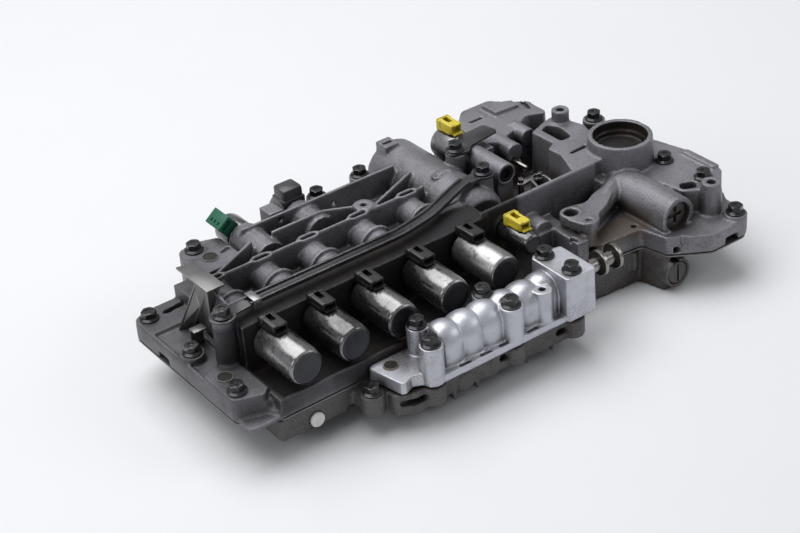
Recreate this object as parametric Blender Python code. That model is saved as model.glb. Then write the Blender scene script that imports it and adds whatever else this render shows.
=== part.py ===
"""Valve body of an automatic transmission, with its solenoids, spools and bolts.

Run with: blender --background --python part.py
Lengths are in millimetres in this file and become metres through MM.
+X is the long axis, +Y points to the rear row of solenoids, +Z is up.
The origin is on the flat mating face of the lower casting.
"""

import math

import bmesh
import bpy
from mathutils import Matrix, Vector

MM = 0.001

# Clearances
SEAT_GAP = 0.3
HOLE_CLEARANCE = 0.35
SLIDE_CLEARANCE = 0.05

# Mesh cleaning
WELD = 0.003
FLAT_ANGLE = math.radians(1.0)

# Sides of round shapes
BOLT_SIDES = 6
FLANGE_SIDES = 10
HOLE_SIDES = 8
BOSS_SIDES = 12
BORE_SIDES = 16
RING_SIDES = 20

# Fillets up to this radius get a single facet
SMALL_FILLET = 5.0

# Levels of the stack
LOWER_TOP = 29.7
FRONT_UNDERSIDE = 13.0
SEPARATOR_THICKNESS = 1.0
UPPER_LOW = LOWER_TOP + SEAT_GAP + SEPARATOR_THICKNESS + SEAT_GAP
TRAY_FLOOR = UPPER_LOW + 6.2
LEDGE_TOP = UPPER_LOW + 3.2
PLATE_TOP = UPPER_LOW + 14.7
TRAY_RIM = UPPER_LOW + 15.2
CORNER_BLOCK_TOP = PLATE_TOP + 4.0
POCKET_FLOOR = UPPER_LOW + 25.0
DECK_TOP = UPPER_LOW + 33.7
RIB_TOP = UPPER_LOW + 46.7
WALL_TOP = RIB_TOP + 2.0
PILLAR_TOP = WALL_TOP + 4.0
NECK_TOP = WALL_TOP + 8.0
MIDDLE_PLATE_TOP = PLATE_TOP - 2.5
BRACKET_TOP = RIB_TOP + 4.0
CAST_WALL = 3.0

# Tray
TRAY_LEFT_X = -184.0
TRAY_FRONT_Y = -75.0

# Linear solenoids, from left to right
SOLENOIDS_X = (-160.4, -120.5, -80.0, -35.5, 9.4)
CAN_RADIUS = 13.8
CAN_LENGTH = 47.0
CAN_RIM = 1.2
NOSE_RADIUS = 8.6
NOSE_LENGTH = 13.0
SOLENOID_Z = TRAY_RIM + 1.8 + CAN_RADIUS
CONNECTOR_SIZE = (13.0, 20.0)
CONNECTOR_HEIGHT = 6.5
CONNECTOR_SLOT = (5.0, 8.0)
CAN_BACK_Y = TRAY_FRONT_Y + CAN_LENGTH

# Wall behind the cans
BACK_WALL_Y = CAN_BACK_Y + 3.0
BACK_WALL_REAR_Y = 4.2

# Bore housings behind the wall
BORE_HOUSING_RADIUS = 11.5
CRESCENT_RADIUS = 14.6
CRESCENT_Y = (19.0, 22.5)
SLOT_RIB_Y = 41.5
SLOT_LENGTH = 14.0
SLOT_WIDTH = 3.6
SLOT_RIM = 2.4
REAR_RIB_Y = 83.0

# Rear row of solenoids
REAR_ROW_END_Y = 119.0
GREEN_X = -104.0
CUBE_X = -56.0
REAR_CAN_RADIUS = 12.0
REAR_CAN_LENGTH = 24.0
REAR_SOLENOID_Z = 62.0

# Large barrel and the bore beside it
BARREL_X = 47.0
BARREL_Z = 55.0
BARREL_RADIUS = 25.0
BARREL_END_Y = 117.0
MODULATOR_X = 83.0
MODULATOR_Z = 76.5
MODULATOR_BORE = 6.4
MODULATOR_WALL = 2.4
MODULATOR_MOUTH_Y = 13.0
MODULATOR_DEPTH = 39.0
MODULATOR_SPOOL_LENGTH = 17.0

# Far solenoid on the rear flank
FAR_X = 85.0
FAR_Z = 72.0
FAR_CAN_RADIUS = 13.5
FAR_NOSE_RADIUS = 6.6
FAR_CAN_LENGTH = 33.0
FAR_END_Y = 97.0

# Neck ring
NECK_CENTRE = (173.0, -14.7)
NECK_RADIUS = 25.0
NECK_BORE = 21.0
NECK_STEP_BORE = 18.5
NECK_DEPTH = 27.0
NECK_BOLT_GAP = 8.8
NECK_BOLT_WAY = (24.0, -23.8)
NECK_BOLT_SHARE = (NECK_RADIUS + NECK_BOLT_GAP) / math.hypot(*NECK_BOLT_WAY)
NECK_BOLT = tuple(place + way * NECK_BOLT_SHARE for place, way in zip(NECK_CENTRE, NECK_BOLT_WAY))

# Cylinder housing of the pressure regulator
REGULATOR_X = 158.0
REGULATOR_Z = 55.5
REGULATOR_BORE = 11.6
REGULATOR_WALL = 3.9
REGULATOR_MOUTH_Y = -95.0
REGULATOR_DEPTH = 60.0
REGULATOR_PLUG_RECESS = 4.0
REGULATOR_PLUG_LENGTH = 9.0
REGULATOR_SPOOL_LENGTH = 30.0

# Fasteners
BOLT_SHANK = 2.9
BOLT_FLANGE = 7.2
BOLT_FLATS = 10.0
BOLT_HEAD = 6.4
BOLT_DEPTH = 13.0
BOSS_WALL = 2.3
BOSS_RADIUS = BOLT_FLANGE + BOSS_WALL

# Manual valve and its bright casting, set out from the front of the tray
MANUAL_BACK_Y = TRAY_FRONT_Y - 0.2
MANUAL_REAR_BOLTS_Y = MANUAL_BACK_Y - 8.0
MANUAL_Z = 50.0
MANUAL_BORE = 8.0
MANUAL_Y = MANUAL_REAR_BOLTS_Y - MANUAL_BORE - BOLT_SHANK - 0.9
MANUAL_FRONT_BOLTS_Y = MANUAL_Y - 12.6
MANUAL_FRONT_Y = MANUAL_Y - 21.0
MANUAL_CREST = 14.6
MANUAL_WAVE = 2.2
MANUAL_LEFT_X = -72.0
MANUAL_RIGHT_X = 55.0
MANUAL_LOW = UPPER_LOW
MANUAL_BOSS_TOP = 61.5
MANUAL_BLOCK_TOP = 68.0
MANUAL_RIDGES = 6
MANUAL_PITCH = 17.5
MANUAL_BORE_END_X = -66.0
MANUAL_SPOOL_X = -52.0
MANUAL_EAR_TOP = MANUAL_LOW + 9.5
MANUAL_DISC_RADIUS = 10.0
MANUAL_DISC_THICKNESS = 3.0
MANUAL_DISC_X = (79.0, 93.0)

# Retainer bar
BAR_WIDTH = 10.0
BAR_THICKNESS = 1.6
BAR_LIP = 1.6
BAR_Y = BACK_WALL_Y + 13.5
BAR_LEFT = (-186.5, BAR_Y - 3.0)
BAR_RIGHT = (62.0, 15.0)
BAR_Z = PILLAR_TOP + SEAT_GAP
BAR_BENDS = ((-165.0, BAR_Y), (-36.0, BAR_Y), (-4.0, BAR_Y + 6.0), (26.0, 7.5), (44.0, 14.5))
BAR_CLIP = (-160.0, BAR_Y)

# Bolts seated on the upper casting: x, y and seat level
UPPER_BOLTS = {
    "bolt_front_left": (-202.0, -50.0, CORNER_BLOCK_TOP),
    "bolt_left": (-201.5, 9.5, CORNER_BLOCK_TOP),
    "bolt_rear_left": (-200.5, 72.0, PLATE_TOP),
    "bolt_rear_block": (-144.0, 98.5, DECK_TOP + 2.0),
    "bolt_rear_middle": (-33.0, 101.0, DECK_TOP + 2.0),
    "bolt_rear_barrel": (5.0, 97.0, DECK_TOP + 7.0),
    "bolt_neck_rear": (191.0, 36.0, DECK_TOP + 10.0),
    "bolt_deck": (*NECK_BOLT, DECK_TOP),
    "bolt_deck_front": (200.5, -77.0, DECK_TOP),
    "bolt_corner": (200.8, -111.0, PLATE_TOP + 3.0),
}

# Length under the head of the bolt that passes through the front flange
BOLT_LENGTHS = {"bolt_corner": 26.0}

# Bolts seated on the bright casting: x, y and seat level
MANUAL_BOLTS = {
    "bolt_manual_front_1": (-82.5, MANUAL_FRONT_BOLTS_Y, MANUAL_BOSS_TOP),
    "bolt_manual_front_2": (-12.7, MANUAL_FRONT_BOLTS_Y, MANUAL_BOSS_TOP),
    "bolt_manual_front_3": (40.0, MANUAL_FRONT_BOLTS_Y - 3.0, MANUAL_BLOCK_TOP),
    "bolt_manual_rear_1": (-76.0, MANUAL_REAR_BOLTS_Y, MANUAL_BOSS_TOP),
    "bolt_manual_rear_2": (-18.5, MANUAL_REAR_BOLTS_Y, MANUAL_BOSS_TOP),
    "bolt_manual_rear_3": (38.5, MANUAL_REAR_BOLTS_Y, MANUAL_BLOCK_TOP),
}
MANUAL_POST = (16.0, MANUAL_FRONT_BOLTS_Y + 1.0)
LOWER_BOLT = (-122.0, -91.0)
LOWER_BOLT_SEAT = LOWER_TOP + 2.0
CLAMP_BOLT = (66.5, 54.5)
CLAMP_Z = FAR_Z + FAR_CAN_RADIUS + SEAT_GAP
CLAMP_THICKNESS = 1.8
CLAMPING_BOLTS = {
    "bolt_bar_left": (*BAR_LEFT, BAR_Z + BAR_THICKNESS),
    "bolt_bar_right": (*BAR_RIGHT, BAR_Z + BAR_THICKNESS),
    "bolt_clamp": (*CLAMP_BOLT, CLAMP_Z + CLAMP_THICKNESS),
}

# Foot of the bright casting, and its ear with the round pad
EAR_EDGE = (
    (-115, MANUAL_BACK_Y - 2.8, 2), (-108, MANUAL_FRONT_Y + 7, 2),
    (-98, MANUAL_FRONT_Y + 11, 2), (-91, MANUAL_FRONT_Y + 8, 2),
)
MANUAL_OUTLINE = (
    *EAR_EDGE, (-89, MANUAL_FRONT_Y + 1, 3), (46, MANUAL_FRONT_Y, 3),
    (56, MANUAL_FRONT_Y - 3.6, 3), (56, MANUAL_BACK_Y, 2), (-112, MANUAL_BACK_Y, 2),
)
MANUAL_EAR = (
    *EAR_EDGE, (-78, MANUAL_Y - 1, 2), (-78, MANUAL_BACK_Y, 2), (-112, MANUAL_BACK_Y, 2),
)

# Bore and plugs of the lower casting
LOWER_BORE_X = 149.0
LOWER_BORE_Z = 14.6
LOWER_BORE_RADIUS = 9.6
LOWER_BORE_WALL = 2.6
LOWER_BORE_MOUTH_Y = -105.0
PORT_PLUG_X = -158.5
PORT_PLUG_Z = 19.0
PORT_PLUG_RADIUS = 5.6

# Ports on the mating face: x, y, length and turn
PORT_WIDTH = 8.0
PORT_DEPTH = 6.0
PORTS = (
    (-130, -30, 34, 20), (-120, 30, 44, -15), (-70, -20, 40, 60), (-60, 50, 36, 5),
    (-22, -48, 42, 10), (30, 40, 38, -35), (60, -20, 44, 75), (110, 30, 46, 15), (120, -40, 36, -20),
)

# Small solenoid at the right end of the tray
LOCKUP_X = 48.0
LOCKUP_Z = 62.0
LOCKUP_RADIUS = 8.8
LOCKUP_FRONT_Y = -60.0
LOCKUP_BACK_Y = -26.5
LOCKUP_NOSE_RADIUS = 6.0
LOCKUP_NOSE_END_Y = -17.0

# Coils of the springs
SPRING_TURNS = 3
SPRING_STEPS = 10
SPRING_SIDES = 4

# Tilt of the green plug about its can
GREEN_TILT = 38.0

# Open trough in the upper casting, and the pin over it
TROUGH_FLOOR = TRAY_FLOOR - 0.5
STOP_PIN_AXIS = (116.0, 0.0, 62.0)
STOP_PIN_Y = (29.0, 61.0)
STOP_PIN_RADIUS = 2.0

# Outline of the joint between the castings, as corners with a rounding radius
JOINT_OUTLINE = (
    (-211, -58, 3), (-190, -65.5, 2), (-184, -75, 2), (62, -75, 2), (100, -75, 3),
    (136, -79, 2), (141, -101, 2), (155, -111, 4), (169, -120, 6), (204, -120, 8),
    (212, -108, 5), (214, -88, 3), (221, -78, 4), (222, -38, 4), (215, -8, 6),
    (206, 30, 6), (190, 50, 6), (176, 66, 4), (175, 98, 6), (163, 106, 4),
    (151, 121, 5), (121, 121, 8), (104, 104, 6), (72, 104, 3), (72, 117, 4), (22, 117, 4),
    (14, 106, 5), (-118, 106, 4), (-138, 112, 6), (-155, 108, 5), (-158, 85, 3),
    (-190, 84, 2), (-197, 82, 4), (-211, 80, 8), (-211, 62, 3),
)

# Colours as linear red, green and blue, then roughness and metallic
CAST_GREY = ((0.150, 0.148, 0.160), 0.55, 0.75)
CAST_DARK = ((0.110, 0.110, 0.118), 0.60, 0.70)
CAST_BRIGHT = ((0.520, 0.530, 0.550), 0.38, 0.85)
PLATE_STEEL = ((0.230, 0.225, 0.220), 0.45, 0.90)
CAN_STEEL = ((0.085, 0.084, 0.085), 0.28, 0.90)
BLACK_PLASTIC = ((0.012, 0.012, 0.013), 0.45, 0.0)
YELLOW_PLASTIC = ((0.640, 0.500, 0.035), 0.40, 0.0)
GREEN_PLASTIC = ((0.022, 0.230, 0.120), 0.40, 0.0)
WHITE_PLASTIC = ((0.780, 0.780, 0.760), 0.40, 0.0)
BOLT_BLACK = ((0.035, 0.035, 0.038), 0.35, 0.85)
VALVE_STEEL = ((0.560, 0.560, 0.560), 0.25, 1.0)
SPRING_STEEL = ((0.300, 0.300, 0.310), 0.30, 1.0)


def clear_scene():
    """Remove every object from the scene."""
    for item in list(bpy.data.objects):
        bpy.data.objects.remove(item, do_unlink=True)


def finish_material(name, look):
    """Return a material with the given colour, roughness and metallic value."""
    material = bpy.data.materials.get(name)
    if material is None:
        material = bpy.data.materials.new(name)
        material.use_nodes = True
        colour, roughness, metallic = look
        shader = material.node_tree.nodes["Principled BSDF"]
        shader.inputs["Base Color"].default_value = (*colour, 1.0)
        shader.inputs["Roughness"].default_value = roughness
        shader.inputs["Metallic"].default_value = metallic
        material.diffuse_color = (*colour, 1.0)
    return material


def mesh_object(name, bm):
    """Turn a bmesh drawn in millimetres into an object in metres."""
    bmesh.ops.recalc_face_normals(bm, faces=bm.faces)
    bmesh.ops.scale(bm, vec=(MM, MM, MM), verts=bm.verts)
    mesh = bpy.data.meshes.new(name)
    bm.to_mesh(mesh)
    bm.free()
    result = bpy.data.objects.new(name, mesh)
    bpy.context.scene.collection.objects.link(result)
    return result


def rounded(corners):
    """Return the points of an outline whose corners (x, y, radius) are filleted."""
    points = []
    count = len(corners)
    for index, (x, y, radius) in enumerate(corners):
        steps = 1 if radius <= SMALL_FILLET else 2
        here = Vector((x, y))
        before = Vector(corners[index - 1][:2]) - here
        after = Vector(corners[(index + 1) % count][:2]) - here
        turn = before.angle(after)
        reach = radius / math.tan(turn / 2) if radius > 0 else 0.0
        limit = 0.45 * min(before.length, after.length)
        if radius <= 0 or turn > math.pi - 0.05:
            points.append((x, y))
            continue
        if reach > limit:
            reach = limit
            radius = reach * math.tan(turn / 2)
        start = here + before.normalized() * reach
        end = here + after.normalized() * reach
        middle = (before.normalized() + after.normalized()).normalized()
        centre = here + middle * (radius / math.sin(turn / 2))
        first = start - centre
        sweep = first.angle_signed(end - centre)
        for step in range(steps + 1):
            point = first.copy()
            point.rotate(Matrix.Rotation(-sweep * step / steps, 2))
            points.append(tuple(centre + point))
    return points


def offset_outline(points, distance):
    """Move an anticlockwise outline inwards by a distance."""
    moved = []
    count = len(points)
    for index in range(count):
        here = Vector(points[index])
        before = (here - Vector(points[index - 1])).normalized()
        after = (Vector(points[(index + 1) % count]) - here).normalized()
        inward = Vector((-before.y - after.y, before.x + after.x))
        inward.normalize()
        lean = max(0.5, inward.dot(Vector((-before.y, before.x))))
        moved.append(tuple(here + inward * (distance / lean)))
    return moved


def prism(name, points, low, high, draft=0.0):
    """Extrude an anticlockwise outline from low to high, drawn in by the draft."""
    bm = bmesh.new()
    top_points = offset_outline(points, draft) if draft else points
    bottom = [bm.verts.new((x, y, low)) for x, y in points]
    top = [bm.verts.new((x, y, high)) for x, y in top_points]
    count = len(points)
    bm.faces.new(list(reversed(bottom)))
    bm.faces.new(top)
    for index in range(count):
        following = (index + 1) % count
        bm.faces.new((bottom[index], bottom[following], top[following], top[index]))
    return mesh_object(name, bm)


def box(name, low, high):
    """Return a box between two corners."""
    corners = ((low[0], low[1]), (high[0], low[1]), (high[0], high[1]), (low[0], high[1]))
    return prism(name, corners, low[2], high[2])


def rib(name, start, end, thickness, low, high, draft=0.25):
    """Return a straight upright wall between two plan points."""
    along = (Vector(end) - Vector(start)).normalized()
    side = Vector((-along.y, along.x)) * (thickness / 2)
    first = Vector(start)
    last = Vector(end)
    points = [tuple(first - side), tuple(last - side), tuple(last + side), tuple(first + side)]
    return prism(name, points, low, high, draft)


def oblong(centre, length, width, angle=0.0, steps=3):
    """Return the outline of a slot with round ends."""
    radius = width / 2
    reach = length / 2 - radius
    points = []
    for end in (1, -1):
        for step in range(steps + 1):
            turn = math.pi * (step / steps - 0.5) + (0 if end > 0 else math.pi)
            points.append(Vector((end * reach + radius * math.cos(turn), radius * math.sin(turn))))
    turned = Matrix.Rotation(-angle, 2)
    placed = []
    for point in points:
        point.rotate(turned)
        placed.append((centre[0] + point.x, centre[1] + point.y))
    return placed


def axis_frame(axis):
    """Return the direction of an axis and two directions across it."""
    frames = {
        "X": (Vector((1, 0, 0)), Vector((0, 1, 0)), Vector((0, 0, 1))),
        "Y": (Vector((0, 1, 0)), Vector((0, 0, 1)), Vector((1, 0, 0))),
        "Z": (Vector((0, 0, 1)), Vector((1, 0, 0)), Vector((0, 1, 0))),
    }
    return frames[axis]


def lathe(name, centre, axis, profile, segments=24):
    """Revolve (distance along the axis, radius) pairs about an axis through centre."""
    along, across, upward = axis_frame(axis)
    bm = bmesh.new()
    rings = []
    for distance, radius in profile:
        ring = []
        if radius <= 0:
            ring.append(bm.verts.new(Vector(centre) + along * distance))
        else:
            for index in range(segments):
                turn = 2 * math.pi * (index + 0.5) / segments
                offset = across * math.cos(turn) + upward * math.sin(turn)
                ring.append(bm.verts.new(Vector(centre) + along * distance + offset * radius))
        rings.append(ring)
    for first, second in zip(rings, rings[1:]):
        for index in range(segments):
            following = (index + 1) % segments
            if len(first) == 1:
                bm.faces.new((first[0], second[index], second[following]))
            elif len(second) == 1:
                bm.faces.new((first[index], second[0], first[following]))
            else:
                bm.faces.new((first[index], second[index], second[following], first[following]))
    for ring, turned in ((rings[0], False), (rings[-1], True)):
        if len(ring) > 1:
            bm.faces.new(ring if turned else list(reversed(ring)))
    return mesh_object(name, bm)


def rod(name, centre, axis, start, end, radius, segments=24, end_radius=None):
    """Return a cylinder, or a cone frustum, along an axis through centre."""
    last = radius if end_radius is None else end_radius
    return lathe(name, centre, axis, ((start, radius), (end, last)), segments)


def post(name, place, radius, low, high, segments=BOSS_SIDES, top_radius=None):
    """Return an upright round boss."""
    return rod(name, (place[0], place[1], 0), "Z", low, high, radius, segments, top_radius)


def slanted_rod(start, end, radius, end_radius, segments=BOSS_SIDES):
    """Return a cone frustum between two points."""
    span = Vector(end) - Vector(start)
    item = rod("solid", (0, 0, 0), "Z", 0, span.length, radius, segments, end_radius)
    turn = Vector((0, 0, 1)).rotation_difference(span).to_matrix().to_4x4()
    item.data.transform(Matrix.Translation(Vector(start) * MM) @ turn)
    return item


def bake(item):
    """Replace an object's mesh by its evaluated one and drop the modifiers."""
    depsgraph = bpy.context.evaluated_depsgraph_get()
    mesh = bpy.data.meshes.new_from_object(item.evaluated_get(depsgraph))
    item.modifiers.clear()
    item.data = mesh


def boolean(body, pieces, operation):
    """Join pieces to a body, or cut them from it, and remove the pieces."""
    if not pieces:
        return body
    tools = bpy.data.collections.new("tools")
    bpy.context.scene.collection.children.link(tools)
    for piece in pieces:
        piece.hide_render = True
        piece.display_type = "WIRE"
        bpy.context.scene.collection.objects.unlink(piece)
        tools.objects.link(piece)
    modifier = body.modifiers.new("boolean", "BOOLEAN")
    modifier.operation = operation
    modifier.operand_type = "COLLECTION"
    modifier.collection = tools
    modifier.solver = "EXACT"
    bake(body)
    for piece in pieces:
        bpy.data.objects.remove(piece, do_unlink=True)
    bpy.data.collections.remove(tools)
    return body


def casting(name, solids, cuts, look):
    """Join the solids, cut the hollows and name the result."""
    body = boolean(solids[0], solids[1:], "UNION")
    body = boolean(body, cuts, "DIFFERENCE")
    return dress(body, name, look)


def keep_main_shell(bm):
    """Delete the slivers that a Boolean leaves beside the main shell."""
    shells = []
    waiting = set(bm.verts)
    while waiting:
        shell = {waiting.pop()}
        edge_of_shell = list(shell)
        while edge_of_shell:
            vert = edge_of_shell.pop()
            for edge in vert.link_edges:
                other = edge.other_vert(vert)
                if other not in shell:
                    shell.add(other)
                    edge_of_shell.append(other)
        waiting -= shell
        shells.append(shell)
    largest = max(shells, key=len)
    spare = [vert for shell in shells if shell is not largest for vert in shell]
    bmesh.ops.delete(bm, geom=spare, context="VERTS")


def tidy_mesh(mesh):
    """Merge doubled points, join flat neighbouring faces and drop slivers."""
    bm = bmesh.new()
    bm.from_mesh(mesh)
    bmesh.ops.remove_doubles(bm, verts=bm.verts, dist=WELD * MM)
    bmesh.ops.dissolve_degenerate(bm, edges=bm.edges, dist=WELD * MM)
    bmesh.ops.dissolve_limit(bm, angle_limit=FLAT_ANGLE, verts=bm.verts, edges=bm.edges)
    keep_main_shell(bm)
    bm.to_mesh(mesh)
    bm.free()


def dress(item, name, look, smooth_angle=35.0):
    """Name an object, clean its mesh and give it its material."""
    tidy_mesh(item.data)
    item.name = name
    item.data.name = name
    item.data.materials.clear()
    item.data.materials.append(finish_material(name.rstrip("0123456789_"), look))
    item.data.shade_smooth()
    item.data.set_sharp_from_angle(angle=math.radians(smooth_angle))
    return item


def bore_cut(centre, axis, start, end, radius, segments=24):
    """Return a round cutter."""
    return rod("cut", centre, axis, start, end, radius, segments)


def bolt_holes(bolts):
    """Return the clearance holes under a set of bolts."""
    radius = BOLT_SHANK + HOLE_CLEARANCE
    holes = []
    for name, (x, y, seat) in bolts.items():
        low = seat - BOLT_LENGTHS.get(name, BOLT_DEPTH) - 1.0
        holes.append(post("cut", (x, y), radius, low, seat + 1.0, BOLT_SIDES))
    return holes


def solenoid_bore_cuts():
    """Return the bores that hold the noses of the linear solenoids."""
    radius = NOSE_RADIUS + SEAT_GAP
    start = BACK_WALL_Y - 1.0
    end = CAN_BACK_Y + NOSE_LENGTH + 1.0
    return [
        bore_cut((x, 0, SOLENOID_Z), "Y", start, end, radius, BORE_SIDES)
        for x in SOLENOIDS_X
    ]


def left_plate():
    """Return the plate, its raised pads and rim, and the bosses at the left end."""
    plate = (
        (-211, -58, 3), (-190, -65.5, 2), (TRAY_LEFT_X + 6, -65.5, 0), (TRAY_LEFT_X + 6, 84, 0),
        (-190, 84, 2), (-197, 82, 4), (-211, 80, 8), (-211, 62, 3),
    )
    front_pad = (
        (-211, -58, 3), (-190, -65.5, 2), (TRAY_LEFT_X + 1, -60, 0),
        (TRAY_LEFT_X + 1, -13, 0), (-211, -18.5, 3),
    )
    rear_pad = (
        (-210.7, 52, 2), (TRAY_LEFT_X + 14, 52, 0), (TRAY_LEFT_X + 14, 83.7, 0),
        (-190, 83.7, 2), (-197, 81.7, 4), (-210.7, 79.7, 8),
    )
    low = UPPER_LOW + 2
    return [
        prism("solid", rounded(plate), UPPER_LOW + 1, MIDDLE_PLATE_TOP, 0.3),
        prism("solid", rounded(front_pad), low, CORNER_BLOCK_TOP, 0.5),
        prism("solid", rounded(rear_pad), low, PLATE_TOP, 0.2),
        box("solid", (-210.6, -20, low), (-208, 54, PLATE_TOP)),
        box("solid", (TRAY_LEFT_X + 1, -20, low), (TRAY_LEFT_X + 5.7, 40, PLATE_TOP)),
        post("solid", UPPER_BOLTS["bolt_left"], BOSS_RADIUS - 0.5, low, CORNER_BLOCK_TOP),
        post("solid", UPPER_BOLTS["bolt_rear_left"], BOSS_RADIUS, low, PLATE_TOP),
        post("solid", BAR_LEFT, 8.7, low, PILLAR_TOP, BOSS_SIDES, 8.0),
    ]


def tray_walls():
    """Return the rim of the solenoid tray, its back wall and the long wall."""
    low = UPPER_LOW + 1
    front_corner = (TRAY_LEFT_X, TRAY_FRONT_Y + 0.5, low)
    lockup_seat = LOCKUP_BACK_Y + SEAT_GAP
    return [
        box("solid", front_corner, (62, TRAY_FRONT_Y + 0.5 + CAST_WALL, TRAY_RIM - 0.5)),
        box("solid", front_corner, (TRAY_LEFT_X + 4, BACK_WALL_Y + 1, TRAY_RIM)),
        box("solid", (-179, BACK_WALL_Y, low), (34, BACK_WALL_REAR_Y, WALL_TOP - 2.5)),
        rib("solid", (-177, 3), (30, 3), CAST_WALL + 1, low, WALL_TOP),
        rib("solid", (28, -22), (141, -22), CAST_WALL + 1, low, WALL_TOP),
        rod("solid", (LOCKUP_X, 0, LOCKUP_Z), "Y", lockup_seat, -14, LOCKUP_RADIUS + 0.6, BOSS_SIDES),
    ]


def bore_housings():
    """Return the humps behind the wall, their crescents and the slotted rib across them."""
    low = POCKET_FLOOR - 10
    solids = [
        box("solid", (-172, -8, UPPER_LOW + 1), (30, REAR_RIB_Y + 1, POCKET_FLOOR)),
        rib("solid", (-156, SLOT_RIB_Y), (26, SLOT_RIB_Y), CAST_WALL, low, RIB_TOP),
    ]
    for x in SOLENOIDS_X:
        centre = (x, 0, SOLENOID_Z)
        solids.append(rod("solid", centre, "Y", -8, SLOT_RIB_Y + 6, BORE_HOUSING_RADIUS, BOSS_SIDES))
        solids.append(rod("solid", centre, "Y", *CRESCENT_Y, CRESCENT_RADIUS, BORE_SIDES))
        rim = oblong((x, SLOT_RIB_Y), SLOT_LENGTH + 2 * SLOT_RIM, SLOT_WIDTH + 2 * SLOT_RIM)
        solids.append(prism("solid", rim, low, RIB_TOP + 0.8))
    return solids


def rear_ribs():
    """Return the ribs and housings between the slotted rib and the rear edge."""
    low = POCKET_FLOOR - 8
    runs = (
        ((-154.5, 46), (-114, 65)), ((-97, 65), (-52, 65)), ((-52, 65), (-28, 52)),
        ((-112, REAR_RIB_Y), (28, REAR_RIB_Y)), ((-18, 45), (31, 66)),
        ((-156, SLOT_RIB_Y), (-168, 28)), ((-168, 28), (-172, 3)),
    )
    solids = [rib("solid", start, end, CAST_WALL, low, RIB_TOP) for start, end in runs]
    for x, front in ((GREEN_X, 56), (CUBE_X, 60)):
        centre = (x, 0, REAR_SOLENOID_Z)
        back = REAR_ROW_END_Y - REAR_CAN_LENGTH - SEAT_GAP
        solids.append(rod("solid", centre, "Y", front, back, REAR_CAN_RADIUS + 1.5, BOSS_SIDES))
    solids.append(post("solid", (-25, 49), 8.0, low, RIB_TOP + 1.2))
    return solids


def rear_edge():
    """Return the raised blocks and bosses along the rear edge."""
    block = ((-158, 66, 2), (-119, 66, 2), (-119, 104, 4), (-138, 111, 6), (-154, 107, 5), (-158, 92, 2))
    low = UPPER_LOW + 1
    solids = [
        prism("solid", rounded(block), low, DECK_TOP + 1.0, 0.6),
        box("solid", (-169, 40, low), (-118, 68, POCKET_FLOOR)),
        box("solid", (-92, 84, low), (-72, 104, POCKET_FLOOR + 2)),
        box("solid", (-44, 84, low), (24, 105, POCKET_FLOOR + 2)),
        box("solid", (-82, 90, low), (-70, 105, POCKET_FLOOR + 19)),
        post("solid", CLAMP_BOLT, BOSS_RADIUS - 1.5, low, CLAMP_Z - SEAT_GAP),
    ]
    for key in ("bolt_rear_block", "bolt_rear_middle", "bolt_rear_barrel"):
        x, y, seat = UPPER_BOLTS[key]
        solids.append(post("solid", (x, y), BOSS_RADIUS - 1, low, seat))
    return solids


def barrel():
    """Return the large round housing with its slotted block and the bar's boss."""
    centre = (BARREL_X, 0, BARREL_Z)
    low = UPPER_LOW + 1
    profile = (
        (-2, BARREL_RADIUS - 6), (4, BARREL_RADIUS - 1.5), (9, BARREL_RADIUS),
        (BARREL_END_Y - 4, BARREL_RADIUS), (BARREL_END_Y, BARREL_RADIUS - 3),
    )
    half_base = box("solid", (BARREL_X - BARREL_RADIUS, 2, low), (BARREL_X + BARREL_RADIUS, 116, BARREL_Z))
    crown = BARREL_Z + BARREL_RADIUS
    rim = oblong((44.5, 43), SLOT_LENGTH + 2 * SLOT_RIM, SLOT_WIDTH + 2 * SLOT_RIM)
    return [
        half_base,
        trimmed_round(centre, profile, low),
        prism("solid", ((33, 100), (47, 100), (47, 115), (33, 115)), BARREL_Z, crown + 3.5, 0.5),
        prism("solid", rim, BARREL_Z, RIB_TOP + 2.4),
        post("solid", BAR_RIGHT, 7.6, low, PILLAR_TOP, BOSS_SIDES, 7.2),
    ]


def trimmed_round(centre, profile, low):
    """Return a lying round housing cut flat below a level."""
    item = lathe("solid", centre, "Y", profile, RING_SIDES)
    reach = 100.0
    under = box("cut", (centre[0] - reach, -reach, low - reach), (centre[0] + reach, 2 * reach, low))
    return boolean(item, [under], "DIFFERENCE")


def modulator_housing():
    """Return the small lying bore beside the barrel and its web."""
    centre = (MODULATOR_X, 0, MODULATOR_Z)
    radius = MODULATOR_BORE + MODULATOR_WALL
    end = MODULATOR_MOUTH_Y + MODULATOR_DEPTH + 4
    low = UPPER_LOW + 1
    return [
        rod("solid", centre, "Y", MODULATOR_MOUTH_Y, end, radius, BORE_SIDES),
        box("solid", (MODULATOR_X - radius + 1, MODULATOR_MOUTH_Y + 2, low),
            (MODULATOR_X + radius - 1, end, MODULATOR_Z)),
        rib("solid", (BARREL_X, 20), (MODULATOR_X, 24), 8.0, low, MODULATOR_Z - 4),
    ]


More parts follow.
